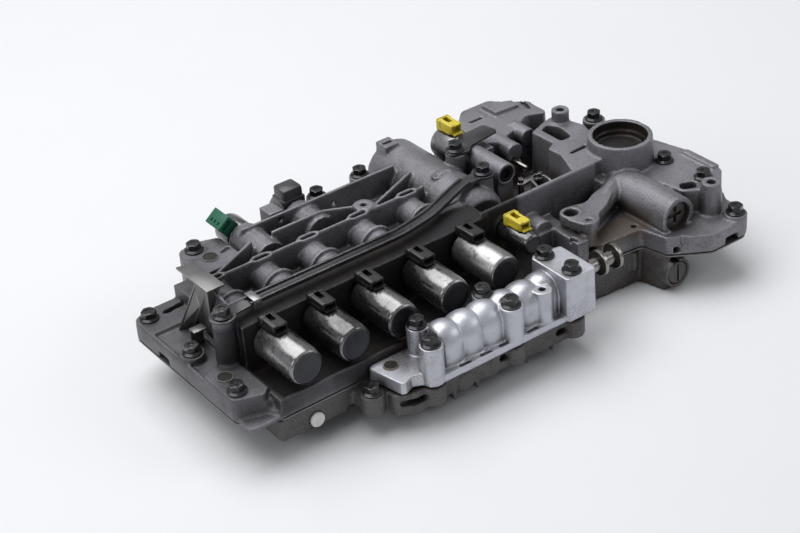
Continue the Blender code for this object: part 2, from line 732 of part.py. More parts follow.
def far_corner():
    """Return the raised rear right corner, its channels and the seat of the far solenoid."""
    low = UPPER_LOW + 1
    raised = (
        (98, 66, 3), (112, 58, 3), (136, 66, 3), (156, 77, 3), (173, 68, 3),
        (174, 97, 5), (162, 105, 3), (150, 120, 4), (121, 120, 7), (104, 103, 5),
    )
    channels = ((118, 68, 46, 8.0), (140, 70, 56, 7.0))
    solids = []
    for x, z, front, radius in channels:
        solids.append(rod("solid", (x, 0, z), "Y", front, 76, radius, BOSS_SIDES))
        solids.append(box("solid", (x - radius + 2, front + 2, low), (x + radius - 2, 76, z)))
    seat_end = FAR_END_Y - FAR_CAN_LENGTH - SEAT_GAP
    seat_top = FAR_Z - FAR_CAN_RADIUS - SEAT_GAP
    return solids + [
        prism("solid", rounded(raised), low, WALL_TOP - 5, 0.8),
        box("solid", (70, 56, low), (100, 103, seat_top)),
        box("solid", (72, 50, low), (100, seat_end, FAR_Z + 7)),
        prism("solid", ((136, 92), (160, 90), (160, 101), (136, 113)), low, WALL_TOP - 1, 0.6),
    ]


def right_deck():
    """Return the deck, arm, slanting leg, ledge and front flange at the right end."""
    low = UPPER_LOW + 1
    deck = (
        (119, -21, 0), (138, -23, 2), (139, -36, 3), (150, -40, 3), (160, -45, 2), (172, -60, 4),
        (174, -82, 4), (186, -90, 4), (210, -87, 4), (220, -78, 4), (222, -38, 4), (215, -8, 6),
        (206, 30, 6), (190, 50, 6), (165, 56, 6), (137, 49, 1), (138, 24, 2), (129, 20, 2),
        (130, 6, 2),
    )
    shelf = (
        (119, -21, 0), (150, -22, 2), (168, 4, 3), (176, 30, 5), (168, 60, 6), (150, 54, 5),
        (137, 49, 1), (138, 24, 2), (129, 20, 2), (130, 6, 2),
    )
    arm = (
        (140, -34, 0), (142, -42, 0), (122, -56, 4), (108, -62, 4), (103, -70, 5), (91, -70, 5),
        (86, -54, 4), (88, -41, 5), (100, -40, 4), (112, -44, 4), (124, -38, 2),
    )
    ledge = (
        (98, -74, 3), (136, -78, 2), (141, -100, 2), (155, -110, 4),
        (160, -60, 3), (140, -40, 3), (100, -40, 3),
    )
    flange = (
        (150, -100, 2), (155, -110, 4), (169, -119.5, 6), (204, -120, 8), (212, -108, 5),
        (214, -88, 3), (221, -78, 4), (200, -60, 3), (150, -60, 3),
    )
    return [
        prism("solid", rounded(deck), low, DECK_TOP, 0.5),
        prism("solid", rounded(shelf), low, WALL_TOP - 2, 0.5),
        prism("solid", rounded(arm), DECK_TOP - 7, DECK_TOP, 0.4),
        slanted_rod((158, -31, 61), (108, -53, 55), 9.0, 6.5),
        rib("solid", (150, -34), (108, -53), 10.0, low, 56),
        box("solid", (213.5, -74, low), (220, -40, DECK_TOP + 2.5)),
        prism("solid", rounded(ledge), low, PLATE_TOP, 0.4),
        prism("solid", rounded(flange), low, PLATE_TOP, 0.0),
    ]


def right_features():
    """Return the neck, cylinder housing, posts and bosses at the right end."""
    low = UPPER_LOW + 1
    outer = REGULATOR_BORE + REGULATOR_WALL
    foot = outer - 2
    mouth = REGULATOR_MOUTH_Y
    back = mouth + REGULATOR_DEPTH + 6
    neck = (
        (low, NECK_RADIUS + 4), (DECK_TOP, NECK_RADIUS + 0.9),
        (NECK_TOP - 1.2, NECK_RADIUS), (NECK_TOP, NECK_RADIUS - 1.0),
    )
    housing = (
        (mouth, outer - 1.0), (mouth + 1.4, outer),
        (back - 6, outer), (back, outer - 7),
    )
    solids = [
        lathe("solid", (*NECK_CENTRE, 0), "Z", neck, RING_SIDES),
        lathe("solid", (REGULATOR_X, 0, REGULATOR_Z), "Y", housing, BORE_SIDES),
        box("solid", (REGULATOR_X - foot, mouth + 2, low), (REGULATOR_X + foot, back, REGULATOR_Z)),
        post("solid", (94, -47.5), 8.5, DECK_TOP - 8, DECK_TOP + 0.6),
        post("solid", (97, -64), 6.0, PLATE_TOP - 2, DECK_TOP + 0.2),
        post("solid", (166.5, 48), 11.5, low, DECK_TOP + 10, BOSS_SIDES, 8.5),
        post("solid", (166.5, 48), 7.0, low, NECK_TOP),
        post("solid", (192, -94), 9.5, low, DECK_TOP + 0.8, BOSS_SIDES, 8.2),
        post("solid", (192, -94), 7.6, low, DECK_TOP + 7),
        rod("solid", (74, 0, 53), "Y", -40, -18, 9.0, BOSS_SIDES),
        box("solid", (66, -42, low), (84, -20, 53)),
        rib("solid", (85, -72), (88, -20), 12.0, low, PLATE_TOP + 8, 0.6),
    ]
    for key in ("bolt_neck_rear", "bolt_deck", "bolt_deck_front"):
        x, y, seat = UPPER_BOLTS[key]
        solids.append(post("solid", (x, y), BOSS_RADIUS - 0.5, low, seat))
    x, y, seat = UPPER_BOLTS["bolt_corner"]
    solids.append(post("solid", (x, y), BOSS_RADIUS - 0.5, low, seat))
    return solids


def left_cuts():
    """Return the grooves, slots, pockets and bores of the left half."""
    bar_slot = RIB_TOP - 6
    cuts = [
        prism("cut", oblong((-180, 72.5), 19, 4.5, math.radians(-5)), PLATE_TOP - 5, PLATE_TOP + 2),
        prism("cut", oblong((44.5, 43), SLOT_LENGTH, SLOT_WIDTH), RIB_TOP - 2, RIB_TOP + 6),
        prism("cut", oblong((-157, 37), 9, SLOT_WIDTH), RIB_TOP - 4, RIB_TOP + 6),
        prism("cut", oblong((40, 107.5), 10, 3), BARREL_Z + BARREL_RADIUS, BARREL_Z + BARREL_RADIUS + 6),
        prism("cut", oblong((-125.5, 85), 10, 3, math.radians(-20)), DECK_TOP - 2, DECK_TOP + 3),
        box("cut", (-214, 30, UPPER_LOW - 1), (-203, 45, UPPER_LOW + 5.5)),
        post("cut", (-25, 49), 2.6, RIB_TOP - 8, RIB_TOP + 3, HOLE_SIDES),
        post("cut", (-69, 74), 3.4, POCKET_FLOOR - 9, POCKET_FLOOR + 2, HOLE_SIDES),
        post("cut", (-27, 74), 3.4, POCKET_FLOOR - 9, POCKET_FLOOR + 2, HOLE_SIDES),
    ]
    for x in SOLENOIDS_X:
        cuts.append(prism("cut", oblong((x, SLOT_RIB_Y), SLOT_LENGTH, SLOT_WIDTH), bar_slot, RIB_TOP + 3))
    back = REAR_ROW_END_Y - REAR_CAN_LENGTH
    noses = [(x, REAR_SOLENOID_Z, back, NOSE_LENGTH, NOSE_RADIUS) for x in (GREEN_X, CUBE_X)]
    noses.append((FAR_X, FAR_Z, FAR_END_Y - FAR_CAN_LENGTH, NOSE_LENGTH - 4, FAR_NOSE_RADIUS))
    for x, z, back, depth, radius in noses:
        cuts.append(bore_cut((x, 0, z), "Y", back - depth, back + 2, radius + SEAT_GAP, BORE_SIDES))
    centre = (LOCKUP_X, 0, LOCKUP_Z)
    end = LOCKUP_NOSE_END_Y + 1
    cuts.append(bore_cut(centre, "Y", LOCKUP_BACK_Y - 2, end, LOCKUP_NOSE_RADIUS + SEAT_GAP, BORE_SIDES))
    centre = (MODULATOR_X, 0, MODULATOR_Z)
    end = MODULATOR_MOUTH_Y + MODULATOR_DEPTH
    cuts.append(bore_cut(centre, "Y", MODULATOR_MOUTH_Y - 2, end, MODULATOR_BORE, BORE_SIDES))
    return cuts + solenoid_bore_cuts()


def pocket_cuts():
    """Return the pockets between the bore housings."""
    cuts = []
    for x in SOLENOIDS_X[:-1]:
        near = x + CRESCENT_RADIUS + 0.4
        corners = ((near, 8, 2), (near + 10, 8, 2), (near + 10.4, 28, 2), (near, 36, 3))
        cuts.append(prism("cut", rounded(corners), POCKET_FLOOR - 7, WALL_TOP + 1))
    return cuts


def right_cuts():
    """Return the neck bore, cylinder bore, slots and windows of the right half."""
    neck = (
        (NECK_TOP + 1, NECK_BORE), (NECK_TOP - 8, NECK_BORE),
        (NECK_TOP - 8.5, NECK_STEP_BORE + 1), (NECK_TOP - 13, NECK_STEP_BORE + 1),
        (NECK_TOP - 13.5, NECK_STEP_BORE), (NECK_TOP - NECK_DEPTH, NECK_STEP_BORE),
    )
    opening = ((181, -71, 2), (193, -77, 2), (187, -84, 2), (176, -79, 2))
    pocket = ((145, 22, 2), (156, 23, 2), (159, 40, 3), (154, 50, 2), (145, 46, 2))
    trough = ((94, -18, 3), (118, -18, 2), (127, 4, 3), (127, 36, 4), (112, 44, 4), (96, 44, 3))
    return [
        lathe("cut", (*NECK_CENTRE, 0), "Z", neck, RING_SIDES),
        bore_cut(
            (REGULATOR_X, 0, REGULATOR_Z), "Y", REGULATOR_MOUTH_Y - 2,
            REGULATOR_MOUTH_Y + REGULATOR_DEPTH, REGULATOR_BORE, BORE_SIDES,
        ),
        prism("cut", rounded(opening), DECK_TOP - 9, DECK_TOP + 2),
        prism("cut", rounded(trough), TROUGH_FLOOR, WALL_TOP + 4),
        prism("cut", rounded(pocket), PLATE_TOP + 4, WALL_TOP + 1),
        bore_cut(STOP_PIN_AXIS, "Y", 40, STOP_PIN_Y[1] + SEAT_GAP, STOP_PIN_RADIUS + SEAT_GAP, BOSS_SIDES),
        prism("cut", oblong((147, 3), 19, 2.4, math.radians(-2)), WALL_TOP - 6, WALL_TOP + 2),
        prism("cut", oblong((150, 108.5), 17, 2.6), WALL_TOP - 9, WALL_TOP),
        prism("cut", oblong((122, 100), 14, 2.6), WALL_TOP - 9, WALL_TOP),
        post("cut", (136, -70.5), 2.4, PLATE_TOP - 7, PLATE_TOP + 1, HOLE_SIDES),
        prism("cut", oblong((167, 92), 15, 4.0, math.radians(-75)), WALL_TOP - 9, WALL_TOP),
        post("cut", (94, -47.5), 5.4, DECK_TOP - 10, DECK_TOP + 2, BOSS_SIDES),
        post("cut", (97, -64), 1.9, DECK_TOP - 8, DECK_TOP + 2, HOLE_SIDES),
        post("cut", (166.5, 48), 2.2, NECK_TOP - 10, NECK_TOP + 2, HOLE_SIDES),
        post("cut", (192, -94), 2.2, DECK_TOP - 3, DECK_TOP + 9, HOLE_SIDES),
        prism("cut", oblong((82.5, -64), 8, 3.2, math.radians(85)), PLATE_TOP + 4, PLATE_TOP + 10),
        box("cut", (183, -123, UPPER_LOW - 1), (196, -113.5, UPPER_LOW + 6)),
        box("cut", (145, -111, UPPER_LOW + 1.5), (150, -97, UPPER_LOW + 6.5)),
    ]


def build_upper_casting():
    """Model the large upper casting."""
    base = prism("solid", offset_outline(rounded(JOINT_OUTLINE), 0.4), UPPER_LOW, TRAY_FLOOR)
    ledge = ((-209, -73, 1), (-205, -75, 1), (-180, -75, 1), (-180, -55, 0), (-209, -55, 0))
    solids = [base, prism("solid", rounded(ledge), UPPER_LOW + SEAT_GAP, LEDGE_TOP)]
    for group in (left_plate, tray_walls, bore_housings, rear_ribs, rear_edge):
        solids += group()
    for group in (barrel, modulator_housing, far_corner, right_deck, right_features):
        solids += group()
    cuts = left_cuts() + pocket_cuts() + right_cuts()
    cuts += bolt_holes(UPPER_BOLTS) + bolt_holes(CLAMPING_BOLTS)
    return casting("upper_valve_body", solids, cuts, CAST_GREY)


def manual_outline():
    """Return the foot of the bright casting on the separator plate."""
    return rounded(MANUAL_OUTLINE)


def build_separator():
    """Model the thin plate between the castings."""
    low = LOWER_TOP + SEAT_GAP
    high = low + SEPARATOR_THICKNESS
    plate = prism("solid", offset_outline(rounded(JOINT_OUTLINE), 0.2), low, high)
    ear = prism("solid", manual_outline(), low, high)
    hole = bolt_holes({"bolt_corner": UPPER_BOLTS["bolt_corner"]})
    return casting("separator_plate", [plate, ear], hole, PLATE_STEEL)


def lower_lumps():
    """Return the bosses and bore ends along the front of the lower casting."""
    solids = [post("solid", LOWER_BOLT, 8.6, FRONT_UNDERSIDE + 2, LOWER_BOLT_SEAT)]
    solids.append(rib("solid", LOWER_BOLT, (LOWER_BOLT[0], -70), 12.0, FRONT_UNDERSIDE + 3, LOWER_TOP - 4))
    for key in ("bolt_manual_front_1", "bolt_manual_front_2", "bolt_manual_front_3"):
        x, y, seat = MANUAL_BOLTS[key]
        solids.append(post("solid", (x, y), BOSS_RADIUS - 0.8, FRONT_UNDERSIDE + 2, LOWER_TOP - 0.2))
    for x in (-96, -56, -34, 8):
        solids.append(rod("solid", (x, 0, 18), "Y", MANUAL_FRONT_Y + 6, -70, 7.0, BOSS_SIDES))
    for x in (-66, -46, -2, 22):
        solids.append(box("solid", (x - 1.2, MANUAL_FRONT_Y + 7, 7), (x + 1.2, -86, LOWER_TOP - 4)))
    solids.append(post("solid", (129, -77.5), 3.4, FRONT_UNDERSIDE + 1, LOWER_TOP - 1))
    return solids


def build_lower_casting():
    """Model the lower casting with its bore housing, channels and ports."""
    front_left = -187
    front = MANUAL_FRONT_Y
    outline = (
        (front_left, -75, 2), (-116, -75, 1), (-112, front + 12, 4), (-98, front + 6, 3),
        (-70, front + 8, 2), (28, front + 4, 3), (52, front + 4, 3), (56, -76, 2),
        (100, -74, 3), (136, -78, 2), (141, -100, 2),
        (163, -101, 4), (166, -62, 4), (203, -60, 5), (216, -36, 5), (208, 0, 6), (184, 48, 6),
        (170, 66, 4), (169, 94, 6), (147, 114, 6), (118, 114, 6), (100, 99, 6), (66, 99, 3),
        (64, 112, 4), (26, 112, 4), (14, 101, 5), (-118, 101, 4), (-150, 102, 5), (-154, 80, 3),
        (front_left, 78, 6),
    )
    core = (
        (-170, -58, 6), (-60, -58, 6), (-50, -84, 6), (30, -84, 6), (56, -62, 6), (74, -73, 3), (135, -77, 2),
        (140, -99, 2), (162, -100, 4), (165, -62, 4), (200, -56, 6), (210, -30, 6), (180, 40, 8),
        (160, 88, 8), (60, 92, 8), (-110, 92, 8), (-150, 70, 8), (-170, 40, 8),
    )
    centre = (LOWER_BORE_X, 0, LOWER_BORE_Z)
    mouth = LOWER_BORE_MOUTH_Y
    solids = [
        prism("solid", rounded(outline), FRONT_UNDERSIDE, LOWER_TOP),
        prism("solid", rounded(core), 0.0, LOWER_TOP - 2),
        rod("solid", centre, "Y", mouth, -60, LOWER_BORE_RADIUS + LOWER_BORE_WALL, BORE_SIDES),
    ]
    solids += lower_lumps()
    cuts = [
        bore_cut(centre, "Y", mouth - 1, mouth + 8.4, LOWER_BORE_RADIUS, BORE_SIDES),
        bore_cut((PORT_PLUG_X, 0, PORT_PLUG_Z), "Y", -76, -68.7, PORT_PLUG_RADIUS - 0.6, BOSS_SIDES),
        *bolt_holes({"bolt_lower": (*LOWER_BOLT, LOWER_BOLT_SEAT)}),
        box("cut", (145, -111, 21), (150, -96, LOWER_TOP - 3)),
        box("cut", (-133, -100, -1), (-111, -66, 16)),
        box("cut", (-109, front + 2, 20), (-90, front + 14, 25)),
        box("cut", (-26, front + 2, 20), (-20, front + 12, 25)),
        box("cut", (24, front + 2, 19), (32, front + 12, 24)),
    ]
    for x, y, length, turn in PORTS:
        cuts.append(prism("cut", oblong((x, y), length, PORT_WIDTH, math.radians(turn)), -1, PORT_DEPTH))
    return casting("lower_valve_body", solids, cuts, CAST_DARK)


def arched_bore_housing():
    """Loft the ribbed housing of the manual valve: arches on upright sides."""
    half_pitch = MANUAL_PITCH / 2
    stations = []
    for index in range(MANUAL_RIDGES):
        left = MANUAL_LEFT_X + index * MANUAL_PITCH
        stations.append((left, MANUAL_CREST - MANUAL_WAVE))
        stations.append((left + half_pitch * 0.6, MANUAL_CREST))
        stations.append((left + half_pitch * 1.4, MANUAL_CREST))
    stations.append((MANUAL_LEFT_X + MANUAL_RIDGES * MANUAL_PITCH, MANUAL_CREST - MANUAL_WAVE))
    bm = bmesh.new()
    rings = []
    for x, radius in stations:
        points = [(-radius, MANUAL_LOW + 1), (radius, MANUAL_LOW + 1)]
        for step in range(8):
            turn = math.pi * step / 7
            points.append((radius * math.cos(turn), MANUAL_Z + radius * math.sin(turn)))
        rings.append([bm.verts.new((x, MANUAL_Y + y, z)) for y, z in points])
    count = len(rings[0])
    for first, second in zip(rings, rings[1:]):
        for index in range(count):
            following = (index + 1) % count
            bm.faces.new((first[index], first[following], second[following], second[index]))
    bm.faces.new(list(reversed(rings[0])))
    bm.faces.new(rings[-1])
    return mesh_object("solid", bm)


def build_manual_casting():
    """Model the bright casting of the manual valve."""
    lip = MANUAL_LOW + 5.0
    back = MANUAL_BACK_Y
    front = MANUAL_FRONT_Y
    flange = (
        (-90, front + 13, 2), (-88, front + 1, 3), (46, front, 3), (56, front - 3.5, 3),
        (56, back, 2), (-90, back, 2),
    )
    block = ((29, front - 3, 2), (56, front - 3.4, 2), (56, back - 4.8, 2), (29, back - 1, 3))
    solids = [
        prism("solid", manual_outline(), MANUAL_LOW, MANUAL_LOW + 3.5),
        prism("solid", rounded(flange), MANUAL_LOW + 0.5, lip, 0.3),
        prism("solid", rounded(block), MANUAL_LOW + 1, MANUAL_BLOCK_TOP, 0.4),
        prism("solid", rounded(MANUAL_EAR), MANUAL_LOW + 0.5, MANUAL_EAR_TOP, 0.3),
        arched_bore_housing(),
        post("solid", MANUAL_POST, 7.4, MANUAL_LOW + 2, MANUAL_BOSS_TOP),
    ]
    for name, (x, y, seat) in MANUAL_BOLTS.items():
        if seat < MANUAL_BLOCK_TOP:
            radius = min(BOSS_RADIUS - 1, MANUAL_BACK_Y - y - 0.2 if y > MANUAL_Y else BOSS_RADIUS)
            solids.append(post("solid", (x, y), radius, MANUAL_LOW + 0.5, seat))
    bore = ((MANUAL_BORE_END_X, MANUAL_BORE), (MANUAL_RIGHT_X + 3, MANUAL_BORE))
    cuts = [
        lathe("cut", (0, MANUAL_Y, MANUAL_Z), "X", bore, BORE_SIDES),
        post("cut", MANUAL_POST, 2.2, MANUAL_BOSS_TOP - 10, MANUAL_BOSS_TOP + 1, HOLE_SIDES),
    ]
    window_y = (MANUAL_Y - MANUAL_CREST - 0.8, MANUAL_Y - MANUAL_CREST - 3.6)
    for x in (-58, -40, -23, 2):
        cuts.append(box("cut", (x - 5, window_y[1], lip - 3), (x + 5, window_y[0], lip + 2)))
    cuts += bolt_holes(MANUAL_BOLTS)
    for x, y, seat in MANUAL_BOLTS.values():
        cuts.append(post("cut", (x, y), BOLT_FLANGE + HOLE_CLEARANCE, seat, seat + 12))
    return casting("manual_valve_body", solids, cuts, CAST_BRIGHT)


def build_manual_valve():
    """Model the manual spool with its lands, neck and two discs."""
    land = MANUAL_BORE - SLIDE_CLEARANCE
    groove = MANUAL_BORE - 2.6
    profile = [(MANUAL_SPOOL_X, land - 1.0), (MANUAL_SPOOL_X + 1, land)]
    for start, end in ((-34, -20), (14, 30)):
        profile += [(start, land), (start, groove), (end, groove), (end, land)]
    profile += [(57, land), (57, 5.4)]
    for x in MANUAL_DISC_X:
        near = x - MANUAL_DISC_THICKNESS / 2
        far = x + MANUAL_DISC_THICKNESS / 2
        profile += [(near, 5.4), (near, MANUAL_DISC_RADIUS), (far, MANUAL_DISC_RADIUS), (far, 5.4)]
    profile[-1] = (profile[-1][0], 5.0)
    spool = lathe("solid", (0, MANUAL_Y, MANUAL_Z), "X", profile, BORE_SIDES)
    slot = box("cut", (61, MANUAL_Y - 1.6, MANUAL_Z + 2.4), (69, MANUAL_Y + 1.6, MANUAL_Z + 8))
    return dress(boolean(spool, [slot], "DIFFERENCE"), "manual_valve", VALVE_STEEL)


def build_linear_solenoid(number, x):
    """Model one linear solenoid can with its nose in the bore."""
    back = CAN_BACK_Y
    front = TRAY_FRONT_Y
    profile = (
        (back + NOSE_LENGTH, NOSE_RADIUS), (back, NOSE_RADIUS), (back, CAN_RADIUS),
        (front + CAN_RIM + 2, CAN_RADIUS), (front + CAN_RIM, CAN_RADIUS - 0.5),
        (front, CAN_RADIUS - CAN_RIM - 0.5),
    )
    can = lathe("solid", (x, 0, SOLENOID_Z), "Y", profile, RING_SIDES)
    return dress(can, f"linear_solenoid_{number}", CAN_STEEL)


def connector_on_can(name, centre, axis_z, can_radius, size, height, look, slot=None):
    """Model a plug block that saddles a can whose axis lies along Y."""
    x, y = centre
    width, length = size
    top = axis_z + can_radius + height
    low = axis_z + can_radius * 0.72
    front = y - length / 2
    solids = [box("solid", (x - width / 2, front, low), (x + width / 2, y + length / 2, top))]
    cuts = [rod("cut", (x, 0, axis_z), "Y", front - 10, y + length, can_radius + SEAT_GAP, 24)]
    if slot:
        latch = width * 0.3
        foot = axis_z + can_radius - 1.5
        solids.append(box("solid", (x - latch, front - 4, foot), (x + latch, front + 1, top - 2.6)))
        middle = y + length * 0.12
        near = (x - slot[0] / 2, middle - slot[1] / 2, top - 4)
        cuts.append(box("cut", near, (x + slot[0] / 2, middle + slot[1] / 2, top + 1)))
    return casting(name, solids, cuts, look)


def build_linear_solenoids():
    """Model the front row of solenoids with their connectors."""
    for number, x in enumerate(SOLENOIDS_X, start=1):
        build_linear_solenoid(number, x)
        centre = (x, CAN_BACK_Y - CONNECTOR_SIZE[1] / 2 + 2.7)
        connector_on_can(
            f"connector_{number}", centre, SOLENOID_Z, CAN_RADIUS,
            CONNECTOR_SIZE, CONNECTOR_HEIGHT, BLACK_PLASTIC, CONNECTOR_SLOT,
        )


def build_lockup_solenoid():
    """Model the small solenoid at the right end of the tray."""
    profile = (
        (LOCKUP_NOSE_END_Y, LOCKUP_NOSE_RADIUS), (LOCKUP_BACK_Y, LOCKUP_NOSE_RADIUS),
        (LOCKUP_BACK_Y, LOCKUP_RADIUS), (LOCKUP_FRONT_Y + 1, LOCKUP_RADIUS),
        (LOCKUP_FRONT_Y, LOCKUP_RADIUS - 1.0),
    )
    dress(lathe("solid", (LOCKUP_X, 0, LOCKUP_Z), "Y", profile, BORE_SIDES), "lockup_solenoid", CAN_STEEL)
    centre = (LOCKUP_X, (LOCKUP_FRONT_Y + LOCKUP_BACK_Y) / 2 + 2)
    connector_on_can(
        "lockup_connector", centre, LOCKUP_Z, LOCKUP_RADIUS, (11.5, 19.0), 7.5, YELLOW_PLASTIC, (4.5, 8.0),
    )


def rear_can(name, place, end_y, length, radius, nose_radius):
    """Model a solenoid can that points to the rear."""
    x, z = place
    start = end_y - length
    profile = (
        (start - NOSE_LENGTH + 5, nose_radius), (start, nose_radius), (start, radius),
        (end_y - 3, radius), (end_y - 1.2, radius - 0.6), (end_y, radius - 2.4),
    )
    return dress(lathe("solid", (x, 0, z), "Y", profile, BORE_SIDES), name, CAN_STEEL)


def build_rear_solenoids():
    """Model the rear row of solenoids and the far one with its clamp."""
    radius = REAR_CAN_RADIUS
    length = REAR_CAN_LENGTH
    rear_can("shift_solenoid_b", (GREEN_X, REAR_SOLENOID_Z), REAR_ROW_END_Y, length, radius, NOSE_RADIUS)
    rear_can("shift_solenoid_c", (CUBE_X, REAR_SOLENOID_Z), REAR_ROW_END_Y, length, radius, NOSE_RADIUS)
    rear_can("shift_solenoid_a", (FAR_X, FAR_Z), FAR_END_Y, FAR_CAN_LENGTH, FAR_CAN_RADIUS, FAR_NOSE_RADIUS)
    place = (GREEN_X, 106)
    green = connector_on_can("shift_connector_b", place, REAR_SOLENOID_Z, radius, (13, 19), 11, GREEN_PLASTIC)
    pivot = Matrix.Translation(Vector((GREEN_X, 0, REAR_SOLENOID_Z)) * MM)
    green.data.transform(pivot @ Matrix.Rotation(math.radians(-GREEN_TILT), 4, "Y") @ pivot.inverted())
    place = (CUBE_X, 104)
    connector_on_can("shift_connector_c", place, REAR_SOLENOID_Z, radius, (19, 17), 11, BLACK_PLASTIC)
    radius = FAR_CAN_RADIUS
    connector_on_can("shift_connector_a", (FAR_X, 86), FAR_Z, radius, (12, 19), 8.5, YELLOW_PLASTIC, (4.5, 8))
    build_clamp()


def build_clamp():
    """Model the flat clamp over the far solenoid."""
    low = CLAMP_Z
    outline = (
        (58, 49, 2), (73, 46, 3), (80, 52, 2), (110, 56, 2),
        (107, 71, 2), (82, 70, 2), (74, 62, 2), (60, 62, 3),
    )
    plate = prism("solid", rounded(outline), low, low + CLAMP_THICKNESS)
    hole = post("cut", CLAMP_BOLT, BOLT_SHANK + HOLE_CLEARANCE, low - 2, low + 4, BOLT_SIDES)
    return dress(boolean(plate, [hole], "DIFFERENCE"), "solenoid_clamp", BOLT_BLACK)


def smooth_path(points, steps=2):
    """Return a path with its inner corners turned into short curves."""
    path = [Vector(points[0])]
    for before, here, after in zip(points, points[1:], points[2:]):
        before, here, after = Vector(before), Vector(here), Vector(after)
        start = here + (before - here).normalized() * min(8.0, (before - here).length / 2.2)
        end = here + (after - here).normalized() * min(8.0, (after - here).length / 2.2)
        for step in range(steps + 1):
            blend = step / steps
            path.append(start.lerp(here, blend).lerp(here.lerp(end, blend), blend))
    path.append(Vector(points[-1]))
    return path


def band(path, right, left):
    """Return the outline between two offsets of a path."""
    sides = []
    for index, here in enumerate(path):
        before = path[max(0, index - 1)]
        after = path[min(len(path) - 1, index + 1)]
        along = (after - before).normalized()
        sides.append(Vector((-along.y, along.x)))
    first = [tuple(here + side * right) for here, side in zip(path, sides)]
    second = [tuple(here + side * left) for here, side in zip(path, sides)]
    return first + list(reversed(second))


def build_bar():
    """Model the channel-section bar between the pillar and the barrel."""
    path = smooth_path((BAR_LEFT, *BAR_BENDS, BAR_RIGHT))
    half = BAR_WIDTH / 2
    top = BAR_Z + BAR_THICKNESS
    lipped = path[2:-2]
    solids = [
        prism("solid", band(path, -half, half), BAR_Z, top),
        prism("solid", band(lipped, -half, -half + BAR_THICKNESS), BAR_Z + 0.2, top + BAR_LIP),
        prism("solid", band(lipped, half - BAR_THICKNESS, half), BAR_Z + 0.2, top + BAR_LIP),
        post("solid", BAR_LEFT, BOSS_RADIUS, BAR_Z, top),
        post("solid", BAR_RIGHT, BOSS_RADIUS - 0.5, BAR_Z, top),
    ]
    radius = BOLT_SHANK + HOLE_CLEARANCE
    cuts = [post("cut", end, radius, BAR_Z - 2, top + 2, BOLT_SIDES) for end in (BAR_LEFT, BAR_RIGHT)]
    return casting("retainer_bar", solids, cuts, BOLT_BLACK)


def build_bar_clip():
    """Model the small clip that straddles the bar."""
    x, y = BAR_CLIP
    top = BAR_Z + BAR_THICKNESS + BAR_LIP + SEAT_GAP
    half = BAR_WIDTH / 2 + SEAT_GAP
    solids = [
        box("solid", (x - 3, y - half - 1, top), (x + 3, y + half + 1, top + 1)),
        box("solid", (x - 3, y - half - 1, BAR_Z - 3), (x + 3, y - half, top + 0.5)),
        box("solid", (x - 3, y + half, BAR_Z - 3), (x + 3, y + half + 1, top + 0.5)),
    ]
    return casting("bar_clip", solids, [], SPRING_STEEL)


def build_brackets():
    """Model the harness bracket and the locating tab at the left end."""
    sheet = 1.5
    low = MIDDLE_PLATE_TOP + SEAT_GAP
    top = BRACKET_TOP
    leg = bmesh.new()
    corners = ((-190.5, 48, low), (-180, 44.5, low), (-176, 23, top), (-177, 38, top))
    near = [leg.verts.new(corner) for corner in corners]
    far = [leg.verts.new((x + sheet / 2, y + sheet, z)) for x, y, z in corners]
    leg.faces.new(near)
    leg.faces.new(list(reversed(far)))
    for index in range(4):
        following = (index + 1) % 4
        leg.faces.new((near[index], far[index], far[following], near[following]))
    solids = [
        mesh_object("solid", leg),
        box("solid", (-177.2, 22, TRAY_FLOOR + SEAT_GAP), (-175.7, 32, top)),
        box("solid", (-177.2, 22, top - 9.5), (-171.6, 22 + sheet, top)),
        prism("solid", ((-177.2, 64.5), (-177.2, 22), (-163, 22), (-163, 60.5)), top - 0.5, top + 1),
    ]
    casting("harness_bracket", solids, [], PLATE_STEEL)
    tab = [
        box("solid", (-194, 23, low), (-184, 31, low + sheet)),
        box("solid", (-194, 23, low), (-184, 23 + sheet, low + 15)),
        box("solid", (-194, 17, low + 15 - sheet), (-184, 23 + sheet, low + 15)),
    ]
    casting("locating_tab", tab, [], SPRING_STEEL)


def spring(name, centre, start, end, radius, wire, look):
    """Model a coil spring along Y with a loop of round wire."""
    bm = bmesh.new()
    rings = []
    rise = (end - start - 2 * wire) / (2 * math.pi * SPRING_TURNS)
    for index in range(SPRING_TURNS * SPRING_STEPS + 1):
        turn = 2 * math.pi * index / SPRING_STEPS
        y = start + wire + rise * turn
        outward = Vector((math.cos(turn), 0, math.sin(turn)))
        middle = Vector((centre[0], y, centre[1])) + outward * radius
        along = Vector((-math.sin(turn) * radius, rise, math.cos(turn) * radius)).normalized()
        across = along.cross(outward)
        ring = []
        for corner in range(SPRING_SIDES):
            angle = 2 * math.pi * corner / SPRING_SIDES
            ring.append(bm.verts.new(middle + (outward * math.cos(angle) + across * math.sin(angle)) * wire))
        rings.append(ring)
    for first, second in zip(rings, rings[1:]):
        for corner in range(SPRING_SIDES):
            following = (corner + 1) % SPRING_SIDES
            bm.faces.new((first[corner], first[following], second[following], second[corner]))
    bm.faces.new(list(reversed(rings[0])))
    bm.faces.new(rings[-1])
    return dress(mesh_object("solid", bm), name, look)


def bored_valve(name, centre, start, end, bore, grooves):
    """Model a spool along Y whose lands fill a bore, with grooves between."""
    land = bore - SLIDE_CLEARANCE
    waist = bore * 0.6
    profile = [(start, land)]
    for first, last in grooves:
        near = start + first
        far = start + last
        profile += [(near, land), (near, waist), (far, waist), (far, land)]
    profile.append((end, land))
    return dress(lathe("solid", centre, "Y", profile, BORE_SIDES), name, VALVE_STEEL)


